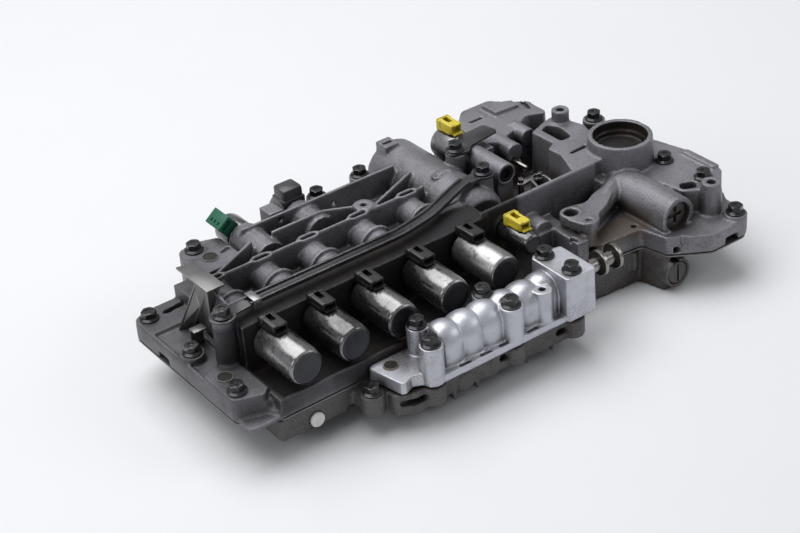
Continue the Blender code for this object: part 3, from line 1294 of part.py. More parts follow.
def build_regulator():
    """Model the pressure regulator: plug, spool and spring in the cylinder housing."""
    x, z = REGULATOR_X, REGULATOR_Z
    centre = (x, 0, z)
    start = REGULATOR_MOUTH_Y + REGULATOR_PLUG_RECESS
    end = start + REGULATOR_PLUG_LENGTH
    radius = REGULATOR_BORE - SEAT_GAP
    body = rod("solid", centre, "Y", start, end, radius, BORE_SIDES)
    cross = [
        box("cut", (x - 7, start - 1, z - 1.5), (x + 7, start + 3, z + 1.5)),
        box("cut", (x - 1.5, start - 1, z - 7), (x + 1.5, start + 3, z + 7)),
    ]
    dress(boolean(body, cross, "DIFFERENCE"), "pressure_regulator_plug", CAST_DARK)
    start = end + SEAT_GAP
    end = start + REGULATOR_SPOOL_LENGTH
    bored_valve("pressure_regulator_valve", centre, start, end, REGULATOR_BORE, ((7, 13), (19, 24)))
    rest = REGULATOR_MOUTH_Y + REGULATOR_DEPTH - SEAT_GAP
    coil = REGULATOR_BORE - 2.6
    spring("pressure_regulator_spring", (x, z), end + SEAT_GAP, rest, coil, 1.2, SPRING_STEEL)


def build_modulator():
    """Model the modulator: hollow plug, spool and spring in the far bore."""
    centre = (MODULATOR_X, 0, MODULATOR_Z)
    start = MODULATOR_MOUTH_Y + 1
    end = start + 7
    radius = MODULATOR_BORE - SEAT_GAP
    body = rod("solid", centre, "Y", start, end, radius, BORE_SIDES)
    hollow = rod("cut", centre, "Y", start - 1, start + 4, radius - 1.7, BOSS_SIDES)
    dress(boolean(body, [hollow], "DIFFERENCE"), "modulator_plug", BOLT_BLACK)
    start = end + SEAT_GAP
    end = start + MODULATOR_SPOOL_LENGTH
    bored_valve("modulator_valve", centre, start, end, MODULATOR_BORE, ((6, 11),))
    rest = MODULATOR_MOUTH_Y + MODULATOR_DEPTH - SEAT_GAP
    place = (MODULATOR_X, MODULATOR_Z)
    spring("modulator_spring", place, end + SEAT_GAP, rest, MODULATOR_BORE - 1.8, 0.8, SPRING_STEEL)


def build_plugs():
    """Model the slotted plug of the lower bore and the white port plug."""
    start = LOWER_BORE_MOUTH_Y + 0.6
    radius = LOWER_BORE_RADIUS - SEAT_GAP
    profile = ((start, radius - 0.8), (start + 0.8, radius), (start + 7.5, radius))
    x, z = LOWER_BORE_X, LOWER_BORE_Z
    body = lathe("solid", (x, 0, z), "Y", profile, BORE_SIDES)
    slot = box("cut", (x - 1.1, start - 1, z - 7.5), (x + 1.1, start + 1.8, z + 7.5))
    dress(boolean(body, [slot], "DIFFERENCE"), "lower_bore_plug", CAST_DARK)
    stem = PORT_PLUG_RADIUS - 1.0
    profile = (
        (-69, stem), (-75.3, stem), (-75.3, PORT_PLUG_RADIUS),
        (-77.2, PORT_PLUG_RADIUS), (-77.8, PORT_PLUG_RADIUS - 0.8),
    )
    dress(lathe("solid", (PORT_PLUG_X, 0, PORT_PLUG_Z), "Y", profile, BOSS_SIDES), "port_plug", WHITE_PLASTIC)


def build_trough_pieces():
    """Model the spring clip and the stop pin in the open trough."""
    floor = TROUGH_FLOOR + SEAT_GAP
    strip = smooth_path(((102, -6), (107, 4), (110, 18), (118, 24), (123, 16), (120, 4)))
    casting("spring_clip", [prism("solid", band(strip, -1.0, 1.0), floor, floor + 22)], [], SPRING_STEEL)
    start, end = STOP_PIN_Y
    profile = ((start, STOP_PIN_RADIUS - 0.6), (start + 1, STOP_PIN_RADIUS), (end, STOP_PIN_RADIUS))
    pin = lathe("solid", STOP_PIN_AXIS, "Y", profile, BOSS_SIDES)
    dress(pin, "stop_pin", VALVE_STEEL)


def stitch(bm, first, second):
    """Fill the band between two rings that may differ in their number of points."""
    here = 0
    there = 0
    while here < len(first) or there < len(second):
        near = first[here % len(first)]
        far = second[there % len(second)]
        if there * len(first) >= here * len(second) and here < len(first):
            here += 1
            bm.faces.new((near, first[here % len(first)], far))
        else:
            there += 1
            bm.faces.new((near, second[there % len(second)], far))


def build_bolt(name, x, y, seat):
    """Model a flange bolt with a six-sided head, seated at a level."""
    low = seat + SEAT_GAP
    hexagon = BOLT_FLATS / math.sqrt(3)
    tip = low - BOLT_LENGTHS.get(name, BOLT_DEPTH)
    rings = [
        (tip, BOLT_SHANK, BOLT_SIDES), (low, BOLT_SHANK, BOLT_SIDES), (low, BOLT_FLANGE, FLANGE_SIDES),
        (low + 1.5, BOLT_FLANGE - 0.6, FLANGE_SIDES), (low + 1.5, hexagon, 6), (low + BOLT_HEAD, hexagon, 6),
    ]
    bm = bmesh.new()
    loops = []
    for z, radius, count in rings:
        loop = []
        for index in range(count):
            turn = 2 * math.pi * (index + 0.5) / count
            loop.append(bm.verts.new((x + radius * math.cos(turn), y + radius * math.sin(turn), z)))
        loops.append(loop)
    for first, second in zip(loops, loops[1:]):
        stitch(bm, first, second)
    bm.faces.new(loops[0])
    bm.faces.new(loops[-1])
    return dress(mesh_object("solid", bm), name, BOLT_BLACK, 30.0)


def build_bolts():
    """Place a bolt at every seat."""
    for name, (x, y, seat) in {**UPPER_BOLTS, **MANUAL_BOLTS, **CLAMPING_BOLTS}.items():
        build_bolt(name, x, y, seat)
    build_bolt("bolt_lower", *LOWER_BOLT, LOWER_BOLT_SEAT)


def main():
    """Build every sub-part."""
    clear_scene()
    build_lower_casting()
    build_separator()
    build_upper_casting()
    build_manual_casting()
    build_manual_valve()
    build_linear_solenoids()
    build_lockup_solenoid()
    build_rear_solenoids()
    build_bar()
    build_bar_clip()
    build_brackets()
    build_regulator()
    build_modulator()
    build_plugs()
    build_trough_pieces()
    build_bolts()


main()
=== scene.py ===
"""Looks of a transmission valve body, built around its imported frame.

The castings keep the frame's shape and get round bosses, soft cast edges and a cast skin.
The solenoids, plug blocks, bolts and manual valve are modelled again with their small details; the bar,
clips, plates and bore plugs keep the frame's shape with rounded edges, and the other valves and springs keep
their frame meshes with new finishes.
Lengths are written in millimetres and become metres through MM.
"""

import logging
import math
from collections.abc import Callable
from dataclasses import dataclass, field
from enum import Enum

import bpy
from mathutils import Matrix, Vector


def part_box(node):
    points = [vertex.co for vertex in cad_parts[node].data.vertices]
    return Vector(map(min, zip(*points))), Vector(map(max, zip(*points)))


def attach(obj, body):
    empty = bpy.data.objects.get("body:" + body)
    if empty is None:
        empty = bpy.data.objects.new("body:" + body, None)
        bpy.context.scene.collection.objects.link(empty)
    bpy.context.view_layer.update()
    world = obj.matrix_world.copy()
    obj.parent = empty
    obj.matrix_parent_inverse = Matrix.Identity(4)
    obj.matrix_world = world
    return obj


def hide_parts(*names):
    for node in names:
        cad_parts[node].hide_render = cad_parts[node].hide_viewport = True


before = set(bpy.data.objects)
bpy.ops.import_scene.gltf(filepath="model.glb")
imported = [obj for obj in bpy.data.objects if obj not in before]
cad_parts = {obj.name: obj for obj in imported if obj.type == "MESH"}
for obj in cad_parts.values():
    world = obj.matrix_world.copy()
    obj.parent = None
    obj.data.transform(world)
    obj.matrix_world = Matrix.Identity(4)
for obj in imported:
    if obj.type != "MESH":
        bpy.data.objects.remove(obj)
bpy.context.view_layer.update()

MM = 0.001
LOG = logging.getLogger("valve_body")
Point = tuple[float, float, float]
Profile = list[tuple[float, float]]
Colour = tuple[float, float, float]


class Axis(Enum):
    """Direction that a round piece lies along."""

    X = (1.0, 0.0, 0.0)
    Y = (0.0, 1.0, 0.0)
    Z = (0.0, 0.0, 1.0)

    @property
    def along(self) -> Vector:
        """Unit vector of the axis."""
        return Vector(self.value)

    @property
    def across(self) -> Vector:
        """Unit vector square to the axis, where a profile is drawn."""
        return Vector((0.0, 0.0, 1.0)) if self is not Axis.Z else Vector((1.0, 0.0, 0.0))

    @property
    def turn(self) -> tuple[float, float, float]:
        """Rotation that lays an upright primitive along the axis."""
        turns = {
            Axis.X: (0.0, math.pi / 2, 0.0),
            Axis.Y: (-math.pi / 2, 0.0, 0.0),
            Axis.Z: (0.0, 0.0, 0.0),
        }
        return turns[self]


class Body(Enum):
    """Rigid bodies of the frame that new pieces ride on."""

    HOUSING = "housing"
    MANUAL = "manual_spool"


@dataclass
class Span:
    """Box of a frame node, in millimetres."""

    low: Vector
    high: Vector

    @classmethod
    def of(cls, node: str) -> "Span":
        """Read the box of a node.

        Args:
            node: name of the frame node.

        Returns:
            Its box in millimetres.
        """
        low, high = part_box(node)
        return cls(Vector(low) / MM, Vector(high) / MM)

    @property
    def middle(self) -> Vector:
        """Centre of the box."""
        return (self.low + self.high) / 2


class Bench:
    """Modelling steps that the pieces share."""

    @staticmethod
    def take(item: bpy.types.Object) -> None:
        """Make one object the only selected and active one.

        Args:
            item: object to work on.
        """
        bpy.ops.object.select_all(action="DESELECT")
        item.select_set(True)
        bpy.context.view_layer.objects.active = item

    @staticmethod
    def settle(item: bpy.types.Object, name: str) -> bpy.types.Object:
        """Name an object and put its place into its mesh.

        Args:
            item: object to settle.
            name: its new name.

        Returns:
            The same object.
        """
        item.name = name
        item.data.name = name
        Bench.take(item)
        bpy.ops.object.transform_apply(location=True, rotation=True, scale=True)
        return item

    @staticmethod
    def cylinder(
        name: str, centre: Point, axis: Axis, start: float, end: float, radius: float,
        sides: int = 48, end_radius: float | None = None,
    ) -> bpy.types.Object:
        """Add a cylinder or a cone frustum.

        Args:
            name: name of the object.
            centre: point on the axis.
            axis: direction of the axis.
            start: distance of the first end along the axis.
            end: distance of the last end along the axis.
            radius: radius at the first end.
            sides: number of sides.
            end_radius: radius at the last end, or None for the same radius.

        Returns:
            The cylinder.
        """
        place = Vector(centre) + axis.along * ((start + end) / 2)
        bpy.ops.mesh.primitive_cone_add(
            vertices=sides, radius1=radius * MM, radius2=(radius if end_radius is None else end_radius) * MM,
            depth=(end - start) * MM, location=place * MM, rotation=axis.turn,
        )
        return Bench.settle(bpy.context.active_object, name)

    @staticmethod
    def box(name: str, low: Point, high: Point) -> bpy.types.Object:
        """Add a box between two corners.

        Args:
            name: name of the object.
            low: lowest corner.
            high: highest corner.

        Returns:
            The box.
        """
        middle = (Vector(low) + Vector(high)) / 2 * MM
        bpy.ops.mesh.primitive_cube_add(size=1.0, location=middle)
        item = bpy.context.active_object
        item.scale = (Vector(high) - Vector(low)) * MM
        return Bench.settle(item, name)

    @staticmethod
    def slab(name: str, outline: list[tuple[float, float]], low: float, high: float) -> bpy.types.Object:
        """Extrude a plan outline upwards.

        Args:
            name: name of the object.
            outline: anticlockwise points.
            low: level of the underside.
            high: level of the top.

        Returns:
            The slab.
        """
        mesh = bpy.data.meshes.new(name)
        points = [(x * MM, y * MM, low * MM) for x, y in outline]
        mesh.from_pydata(points, [], [tuple(range(len(points)))])
        item = bpy.data.objects.new(name, mesh)
        bpy.context.scene.collection.objects.link(item)
        Bench.take(item)
        bpy.ops.object.mode_set(mode="EDIT")
        bpy.ops.mesh.select_all(action="SELECT")
        rise = (0.0, 0.0, (high - low) * MM)
        bpy.ops.mesh.extrude_region_move(TRANSFORM_OT_translate={"value": rise})
        bpy.ops.mesh.select_all(action="SELECT")
        bpy.ops.mesh.normals_make_consistent(inside=False)
        bpy.ops.object.mode_set(mode="OBJECT")
        return item

    @staticmethod
    def spun(name: str, centre: Point, axis: Axis, profile: Profile, steps: int = 64) -> bpy.types.Object:
        """Spin a profile about an axis.

        Args:
            name: name of the object.
            centre: point on the axis.
            axis: direction of the axis.
            profile: pairs of distance along the axis and radius, from pole to pole.
            steps: number of steps round the axis.

        Returns:
            The turned piece.
        """
        points = [(Vector(centre) + axis.along * d + axis.across * r) * MM for d, r in profile]
        edges = [(index, index + 1) for index in range(len(points) - 1)]
        mesh = bpy.data.meshes.new(name)
        mesh.from_pydata(points, edges, [])
        item = bpy.data.objects.new(name, mesh)
        bpy.context.scene.collection.objects.link(item)
        Bench.take(item)
        bpy.ops.object.mode_set(mode="EDIT")
        bpy.ops.mesh.select_all(action="SELECT")
        bpy.ops.mesh.spin(steps=steps, angle=2 * math.pi, center=Vector(centre) * MM, axis=axis.value)
        bpy.ops.mesh.select_all(action="SELECT")
        bpy.ops.mesh.remove_doubles(threshold=0.000002)
        bpy.ops.mesh.normals_make_consistent(inside=False)
        bpy.ops.object.mode_set(mode="OBJECT")
        return item

    @staticmethod
    def apply(item: bpy.types.Object, kind: str, **settings: object) -> bpy.types.Object:
        """Add a modifier, set it and apply it.

        Args:
            item: object to change.
            kind: type of the modifier.
            settings: values of its properties.

        Returns:
            The same object.
        """
        modifier = item.modifiers.new(kind.lower(), kind)
        for key, value in settings.items():
            setattr(modifier, key, value)
        Bench.take(item)
        bpy.ops.object.modifier_apply(modifier=modifier.name)
        return item

    @staticmethod
    def bevel(
        item: bpy.types.Object, width: float, segments: int = 3, angle: float = 30.0,
    ) -> bpy.types.Object:
        """Round the sharp edges of an object.

        Args:
            item: object to change.
            width: width of the bevel.
            segments: number of steps across it.
            angle: smallest edge angle that is rounded, in degrees.

        Returns:
            The same object.
        """
        return Bench.apply(
            item, "BEVEL", width=width * MM, segments=segments, limit_method="ANGLE",
            angle_limit=math.radians(angle), harden_normals=False,
        )

    @staticmethod
    def combine(item: bpy.types.Object, others: list[bpy.types.Object], operation: str) -> bpy.types.Object:
        """Join other solids to an object or cut them from it, and remove them.

        Args:
            item: object to change.
            others: solids to join or cut.
            operation: UNION or DIFFERENCE.

        Returns:
            The same object.
        """
        if not others:
            return item
        tools = bpy.data.collections.new("tools")
        bpy.context.scene.collection.children.link(tools)
        for other in others:
            for home in tuple(other.users_collection):
                home.objects.unlink(other)
            tools.objects.link(other)
        Bench.apply(
            item, "BOOLEAN", operation=operation, operand_type="COLLECTION", collection=tools, solver="EXACT",
        )
        for other in others:
            bpy.data.objects.remove(other, do_unlink=True)
        bpy.data.collections.remove(tools)
        return item

    @staticmethod
    def span(item: bpy.types.Object) -> tuple[Vector, Vector]:
        """Return the lowest and highest corner of an object's mesh."""
        corners = [Vector(corner) for corner in item.bound_box]
        return corners[0], corners[6]

    @staticmethod
    def drill(item: bpy.types.Object, cutters: list[bpy.types.Object]) -> None:
        """Cut each solid that reaches an object from it, one at a time.

        Args:
            item: object to cut.
            cutters: solids to cut from it, which stay in the scene.
        """
        for cutter in cutters:
            low, high = Bench.span(item)
            first, last = Bench.span(cutter)
            if all(low[side] < last[side] and first[side] < high[side] for side in range(3)):
                Bench.apply(item, "BOOLEAN", operation="DIFFERENCE", object=cutter, solver="EXACT")

    @staticmethod
    def join(item: bpy.types.Object, others: list[bpy.types.Object]) -> None:
        """Put other meshes into an object's mesh.

        Args:
            item: object that takes them.
            others: objects that end in it.
        """
        Bench.take(item)
        for other in others:
            other.select_set(True)
        if others:
            bpy.ops.object.join()

    @staticmethod
    def discard(items: list[bpy.types.Object]) -> None:
        """Remove objects that are no longer needed."""
        for item in items:
            bpy.data.objects.remove(item, do_unlink=True)

    @staticmethod
    def copy_node(node: str, name: str) -> bpy.types.Object:
        """Copy a frame node's mesh into a new object with its points merged.

        Args:
            node: name of the frame node.
            name: name of the copy.

        Returns:
            The copy.
        """
        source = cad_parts[node]
        item = bpy.data.objects.new(name, source.data.copy())
        item.data.name = name
        item.data.transform(source.matrix_world)
        bpy.context.scene.collection.objects.link(item)
        item.data.materials.clear()
        Bench.take(item)
        bpy.ops.object.mode_set(mode="EDIT")
        bpy.ops.mesh.select_all(action="SELECT")
        bpy.ops.mesh.remove_doubles(threshold=0.000002)
        bpy.ops.mesh.customdata_custom_splitnormals_clear()
        bpy.ops.object.mode_set(mode="OBJECT")
        return item

    @staticmethod
    def copy_to(item: bpy.types.Object, name: str, move: Matrix) -> bpy.types.Object:
        """Copy a finished piece to another place.

        Args:
            item: piece to copy.
            name: name of the copy.
            move: transform of its mesh, in metres.

        Returns:
            The copy.
        """
        made = bpy.data.objects.new(name, item.data.copy())
        made.data.name = name
        made.data.transform(move)
        bpy.context.scene.collection.objects.link(made)
        return made

    @staticmethod
    def smooth(item: bpy.types.Object, angle: float = 35.0) -> None:
        """Shade a piece smooth below an edge angle.

        Args:
            item: piece to shade.
            angle: largest smooth angle, in degrees.
        """
        Bench.take(item)
        bpy.ops.object.shade_smooth_by_angle(angle=math.radians(angle))


class Sheet:
    """Node sheet of a material or a group, with short ways to add and join nodes."""

    def __init__(self, tree: bpy.types.NodeTree) -> None:
        """Keep the tree.

        Args:
            tree: node tree to fill.
        """
        self.tree = tree

    def node(self, kind: str, **values: object) -> bpy.types.Node:
        """Add a node and set its sockets and properties.

        Args:
            kind: type of the node.
            values: input sockets by name, with underscores for spaces, or properties.

        Returns:
            The node.
        """
        made = self.tree.nodes.new(kind)
        for key, value in values.items():
            if hasattr(made, key):
                setattr(made, key, value)
            else:
                made.inputs[key.replace("_", " ")].default_value = value
        return made

    def join(self, source: bpy.types.NodeSocket, target: bpy.types.NodeSocket) -> None:
        """Link two sockets."""
        self.tree.links.new(source, target)

    def mix(
        self, mask: bpy.types.NodeSocket, first: object, second: Colour, blend: str = "MIX",
    ) -> bpy.types.NodeSocket:
        """Mix a colour over another by a mask.

        Args:
            mask: socket that drives the mix.
            first: socket or colour below.
            second: colour on top.
            blend: blending mode.

        Returns:
            The mixed colour's socket.
        """
        node = self.node("ShaderNodeMix", data_type="RGBA", blend_type=blend)
        self.join(mask, node.inputs[0])
        if isinstance(first, bpy.types.NodeSocket):
            self.join(first, node.inputs[6])
        else:
            node.inputs[6].default_value = (*first, 1.0)
        node.inputs[7].default_value = (*second, 1.0)
        return node.outputs[2]

    def maths(self, operation: str, first: object, second: object) -> bpy.types.NodeSocket:
        """Combine two values.

        Args:
            operation: name of the operation.
            first: socket or number.
            second: socket or number.

        Returns:
            The result's socket.
        """
        node = self.node("ShaderNodeMath", operation=operation)
        for index, value in enumerate((first, second)):
            if isinstance(value, bpy.types.NodeSocket):
                self.join(value, node.inputs[index])
            else:
                node.inputs[index].default_value = value
        return node.outputs[0]

    def remap(
        self, value: bpy.types.NodeSocket, source: tuple[float, float], target: tuple[float, float],
    ) -> bpy.types.NodeSocket:
        """Map a value from one range to another, held inside it.

        Args:
            value: socket to map.
            source: range of the value.
            target: range of the result.

        Returns:
            The result's socket.
        """
        node = self.node("ShaderNodeMapRange", clamp=True)
        self.join(value, node.inputs[0])
        node.inputs[1].default_value, node.inputs[2].default_value = source
        node.inputs[3].default_value, node.inputs[4].default_value = target
        return node.outputs[0]


class Effects:
    """Shader groups that several finishes use."""

    @staticmethod
    def group(name: str, inputs: dict[str, float], outputs: list[str]) -> tuple[bpy.types.NodeTree, Sheet]:
        """Start a group with number inputs and number outputs.

        Args:
            name: name of the group.
            inputs: names and default values.
            outputs: names of the outputs.

        Returns:
            The group and its sheet.
        """
        tree = bpy.data.node_groups.new(name, "ShaderNodeTree")
        for key, value in inputs.items():
            socket = tree.interface.new_socket(name=key, in_out="INPUT", socket_type="NodeSocketFloat")
            socket.default_value = value
        for key in outputs:
            tree.interface.new_socket(name=key, in_out="OUTPUT", socket_type="NodeSocketFloat")
        return tree, Sheet(tree)

    @staticmethod
    def skin() -> bpy.types.NodeTree:
        """Build the fine relief of a cast or moulded skin.

        Returns:
            A group with Height and Speckle outputs.
        """
        name = "skin_relief"
        if name in bpy.data.node_groups:
            return bpy.data.node_groups[name]
        tree, sheet = Effects.group(name, {"Scale": 900.0, "Pits": 0.4}, ["Height", "Speckle"])
        start = sheet.node("NodeGroupInput")
        end = sheet.node("NodeGroupOutput")
        place = sheet.node("ShaderNodeTexCoord")
        grain = sheet.node("ShaderNodeTexNoise", Detail=5.0, Roughness=0.6)
        sheet.join(place.outputs["Object"], grain.inputs["Vector"])
        sheet.join(start.outputs["Scale"], grain.inputs["Scale"])
        pits = sheet.node("ShaderNodeTexVoronoi")
        sheet.join(place.outputs["Object"], pits.inputs["Vector"])
        sheet.join(sheet.maths("MULTIPLY", start.outputs["Scale"], 0.45), pits.inputs["Scale"])
        hollow = sheet.remap(pits.outputs["Distance"], (0.0, 0.35), (0.0, 1.0))
        depth = sheet.maths("MULTIPLY", hollow, start.outputs["Pits"])
        sheet.join(sheet.maths("ADD", grain.outputs["Fac"], depth), end.inputs["Height"])
        sheet.join(grain.outputs["Fac"], end.inputs["Speckle"])
        return tree

    @staticmethod
    def edges() -> bpy.types.NodeTree:
        """Build the masks of worn edges and of painted shade and grime in hollows.

        Returns:
            A group with an Edge output and an output of painted shade and grime in hollows.
        """
        name = "edge_wear"
        if name in bpy.data.node_groups:
            return bpy.data.node_groups[name]
        tree, sheet = Effects.group(
            name, {"Width": 0.0006, "Reach": 0.008, "Breakup": 0.5}, ["Edge", "HollowShadeAndGrime"],
        )
        start = sheet.node("NodeGroupInput")
        end = sheet.node("NodeGroupOutput")
        shape = sheet.node("ShaderNodeNewGeometry")
        rounded = sheet.node("ShaderNodeBevel", samples=4)
        sheet.join(start.outputs["Width"], rounded.inputs["Radius"])
        likeness = sheet.node("ShaderNodeVectorMath", operation="DOT_PRODUCT")
        sheet.join(rounded.outputs["Normal"], likeness.inputs[0])
        sheet.join(shape.outputs["Normal"], likeness.inputs[1])
        sharp = sheet.remap(likeness.outputs["Value"], (0.99, 0.86), (0.0, 1.0))
        shade = sheet.node("ShaderNodeAmbientOcclusion", samples=4)
        sheet.join(start.outputs["Reach"], shade.inputs["Distance"])
        bare = sheet.remap(shade.outputs["AO"], (0.4, 0.7), (0.0, 1.0))
        place = sheet.node("ShaderNodeTexCoord")
        noise = sheet.node("ShaderNodeTexNoise", Scale=160.0, Detail=4.0)
        sheet.join(place.outputs["Object"], noise.inputs["Vector"])
        worn = sheet.remap(noise.outputs["Fac"], (0.3, 0.62), (0.0, 1.0))
        kept = sheet.maths("MAXIMUM", worn, sheet.maths("SUBTRACT", 1.0, start.outputs["Breakup"]))
        sheet.join(sheet.maths("MULTIPLY", sheet.maths("MULTIPLY", sharp, bare), kept), end.inputs["Edge"])
        # painted shade and grime: ambient occlusion darkens the hollows, mottled by noise
        depth = sheet.remap(shade.outputs["AO"], (0.72, 0.2), (0.0, 1.0))
        mottle = sheet.remap(noise.outputs["Fac"], (0.3, 0.7), (0.8, 1.1))
        sheet.join(sheet.maths("MULTIPLY", depth, mottle), end.inputs["HollowShadeAndGrime"])
        return tree

    @staticmethod
    def stains() -> bpy.types.NodeTree:
        """Build the masks of oil film and of dried stains.

        Returns:
            A group with Film and Spots outputs.
        """
        name = "oil_stains"
        if name in bpy.data.node_groups:
            return bpy.data.node_groups[name]
        tree, sheet = Effects.group(name, {"Scale": 18.0, "Streak": 1.0}, ["Film", "Spots", "Patch"])
        start = sheet.node("NodeGroupInput")
        end = sheet.node("NodeGroupOutput")
        place = sheet.node("ShaderNodeTexCoord")
        broad = sheet.node("ShaderNodeTexNoise", Detail=5.0, Roughness=0.55, Distortion=0.6)
        squeeze = sheet.node("ShaderNodeCombineXYZ", X=1.0, Z=1.0)
        sheet.join(start.outputs["Streak"], squeeze.inputs["Y"])
        drawn = sheet.node("ShaderNodeVectorMath", operation="MULTIPLY")
        sheet.join(place.outputs["Object"], drawn.inputs[0])
        sheet.join(squeeze.outputs["Vector"], drawn.inputs[1])
        sheet.join(drawn.outputs["Vector"], broad.inputs["Vector"])
        sheet.join(start.outputs["Scale"], broad.inputs["Scale"])
        fine = sheet.node("ShaderNodeTexNoise", Detail=3.0)
        sheet.join(place.outputs["Object"], fine.inputs["Vector"])
        sheet.join(sheet.maths("MULTIPLY", start.outputs["Scale"], 9.0), fine.inputs["Scale"])
        sheet.join(sheet.remap(broad.outputs["Fac"], (0.38, 0.66), (0.0, 1.0)), end.inputs["Film"])
        sheet.join(sheet.remap(fine.outputs["Fac"], (0.6, 0.72), (0.0, 1.0)), end.inputs["Spots"])
        blend = sheet.maths("MULTIPLY", broad.outputs["Fac"], fine.outputs["Fac"])
        sheet.join(sheet.remap(blend, (0.24, 0.34), (0.0, 1.0)), end.inputs["Patch"])
        return tree


    @staticmethod
    def stain_and_shade() -> bpy.types.NodeTree:
        """Build the mask of a region of real stains and painted shade: a box with a soft, broken border.

        Returns:
            A group with a Mask output.
        """
        name = "soiled_region"
        if name in bpy.data.node_groups:
            return bpy.data.node_groups[name]
        sides = (("X", "Left", "Right"), ("Y", "Near", "Far"), ("Z", "Low", "High"))
        inputs = {side: 0.0 for _, *pair in sides for side in pair}
        tree, sheet = Effects.group(name, inputs | {"Blur": 0.01}, ["Mask"])
        start = sheet.node("NodeGroupInput")
        end = sheet.node("NodeGroupOutput")
        place = sheet.node("ShaderNodeTexCoord")
        parts = sheet.node("ShaderNodeSeparateXYZ")
        sheet.join(place.outputs["Object"], parts.inputs["Vector"])
        noise = sheet.node("ShaderNodeTexNoise", Scale=60.0, Detail=5.0)
        sheet.join(place.outputs["Object"], noise.inputs["Vector"])
        broken = sheet.maths("SUBTRACT", noise.outputs["Fac"], 0.5)
        mask = None
        for axis, low, high in sides:
            value = parts.outputs[axis]
            above = sheet.maths("SUBTRACT", value, start.outputs[low])
            below = sheet.maths("SUBTRACT", start.outputs[high], value)
            inside = sheet.maths("DIVIDE", sheet.maths("MINIMUM", above, below), start.outputs["Blur"])
            mask = inside if mask is None else sheet.maths("MINIMUM", mask, inside)
        sheet.join(sheet.remap(sheet.maths("ADD", mask, broken), (0.0, 1.0), (0.0, 1.0)), end.inputs["Mask"])
        return tree


RUST: Colour = (0.105, 0.062, 0.032)


@dataclass(frozen=True)
class StainAndShadeRegion:
    """A region of a surface darkened towards one colour, for real stains and for painted shade, in
    millimetres.
    """

    low: Point
    high: Point
    blur: float
    colour: Colour
    strength: float = 1.0

    def sockets(self) -> dict[str, float]:
        """Return the input values of the region's shader group."""
        names = (("Left", "Right"), ("Near", "Far"), ("Low", "High"))
        values = {"Blur": self.blur * MM}
        for (first, last), low, high in zip(names, self.low, self.high):
            values[first] = low * MM
            values[last] = high * MM
        return values


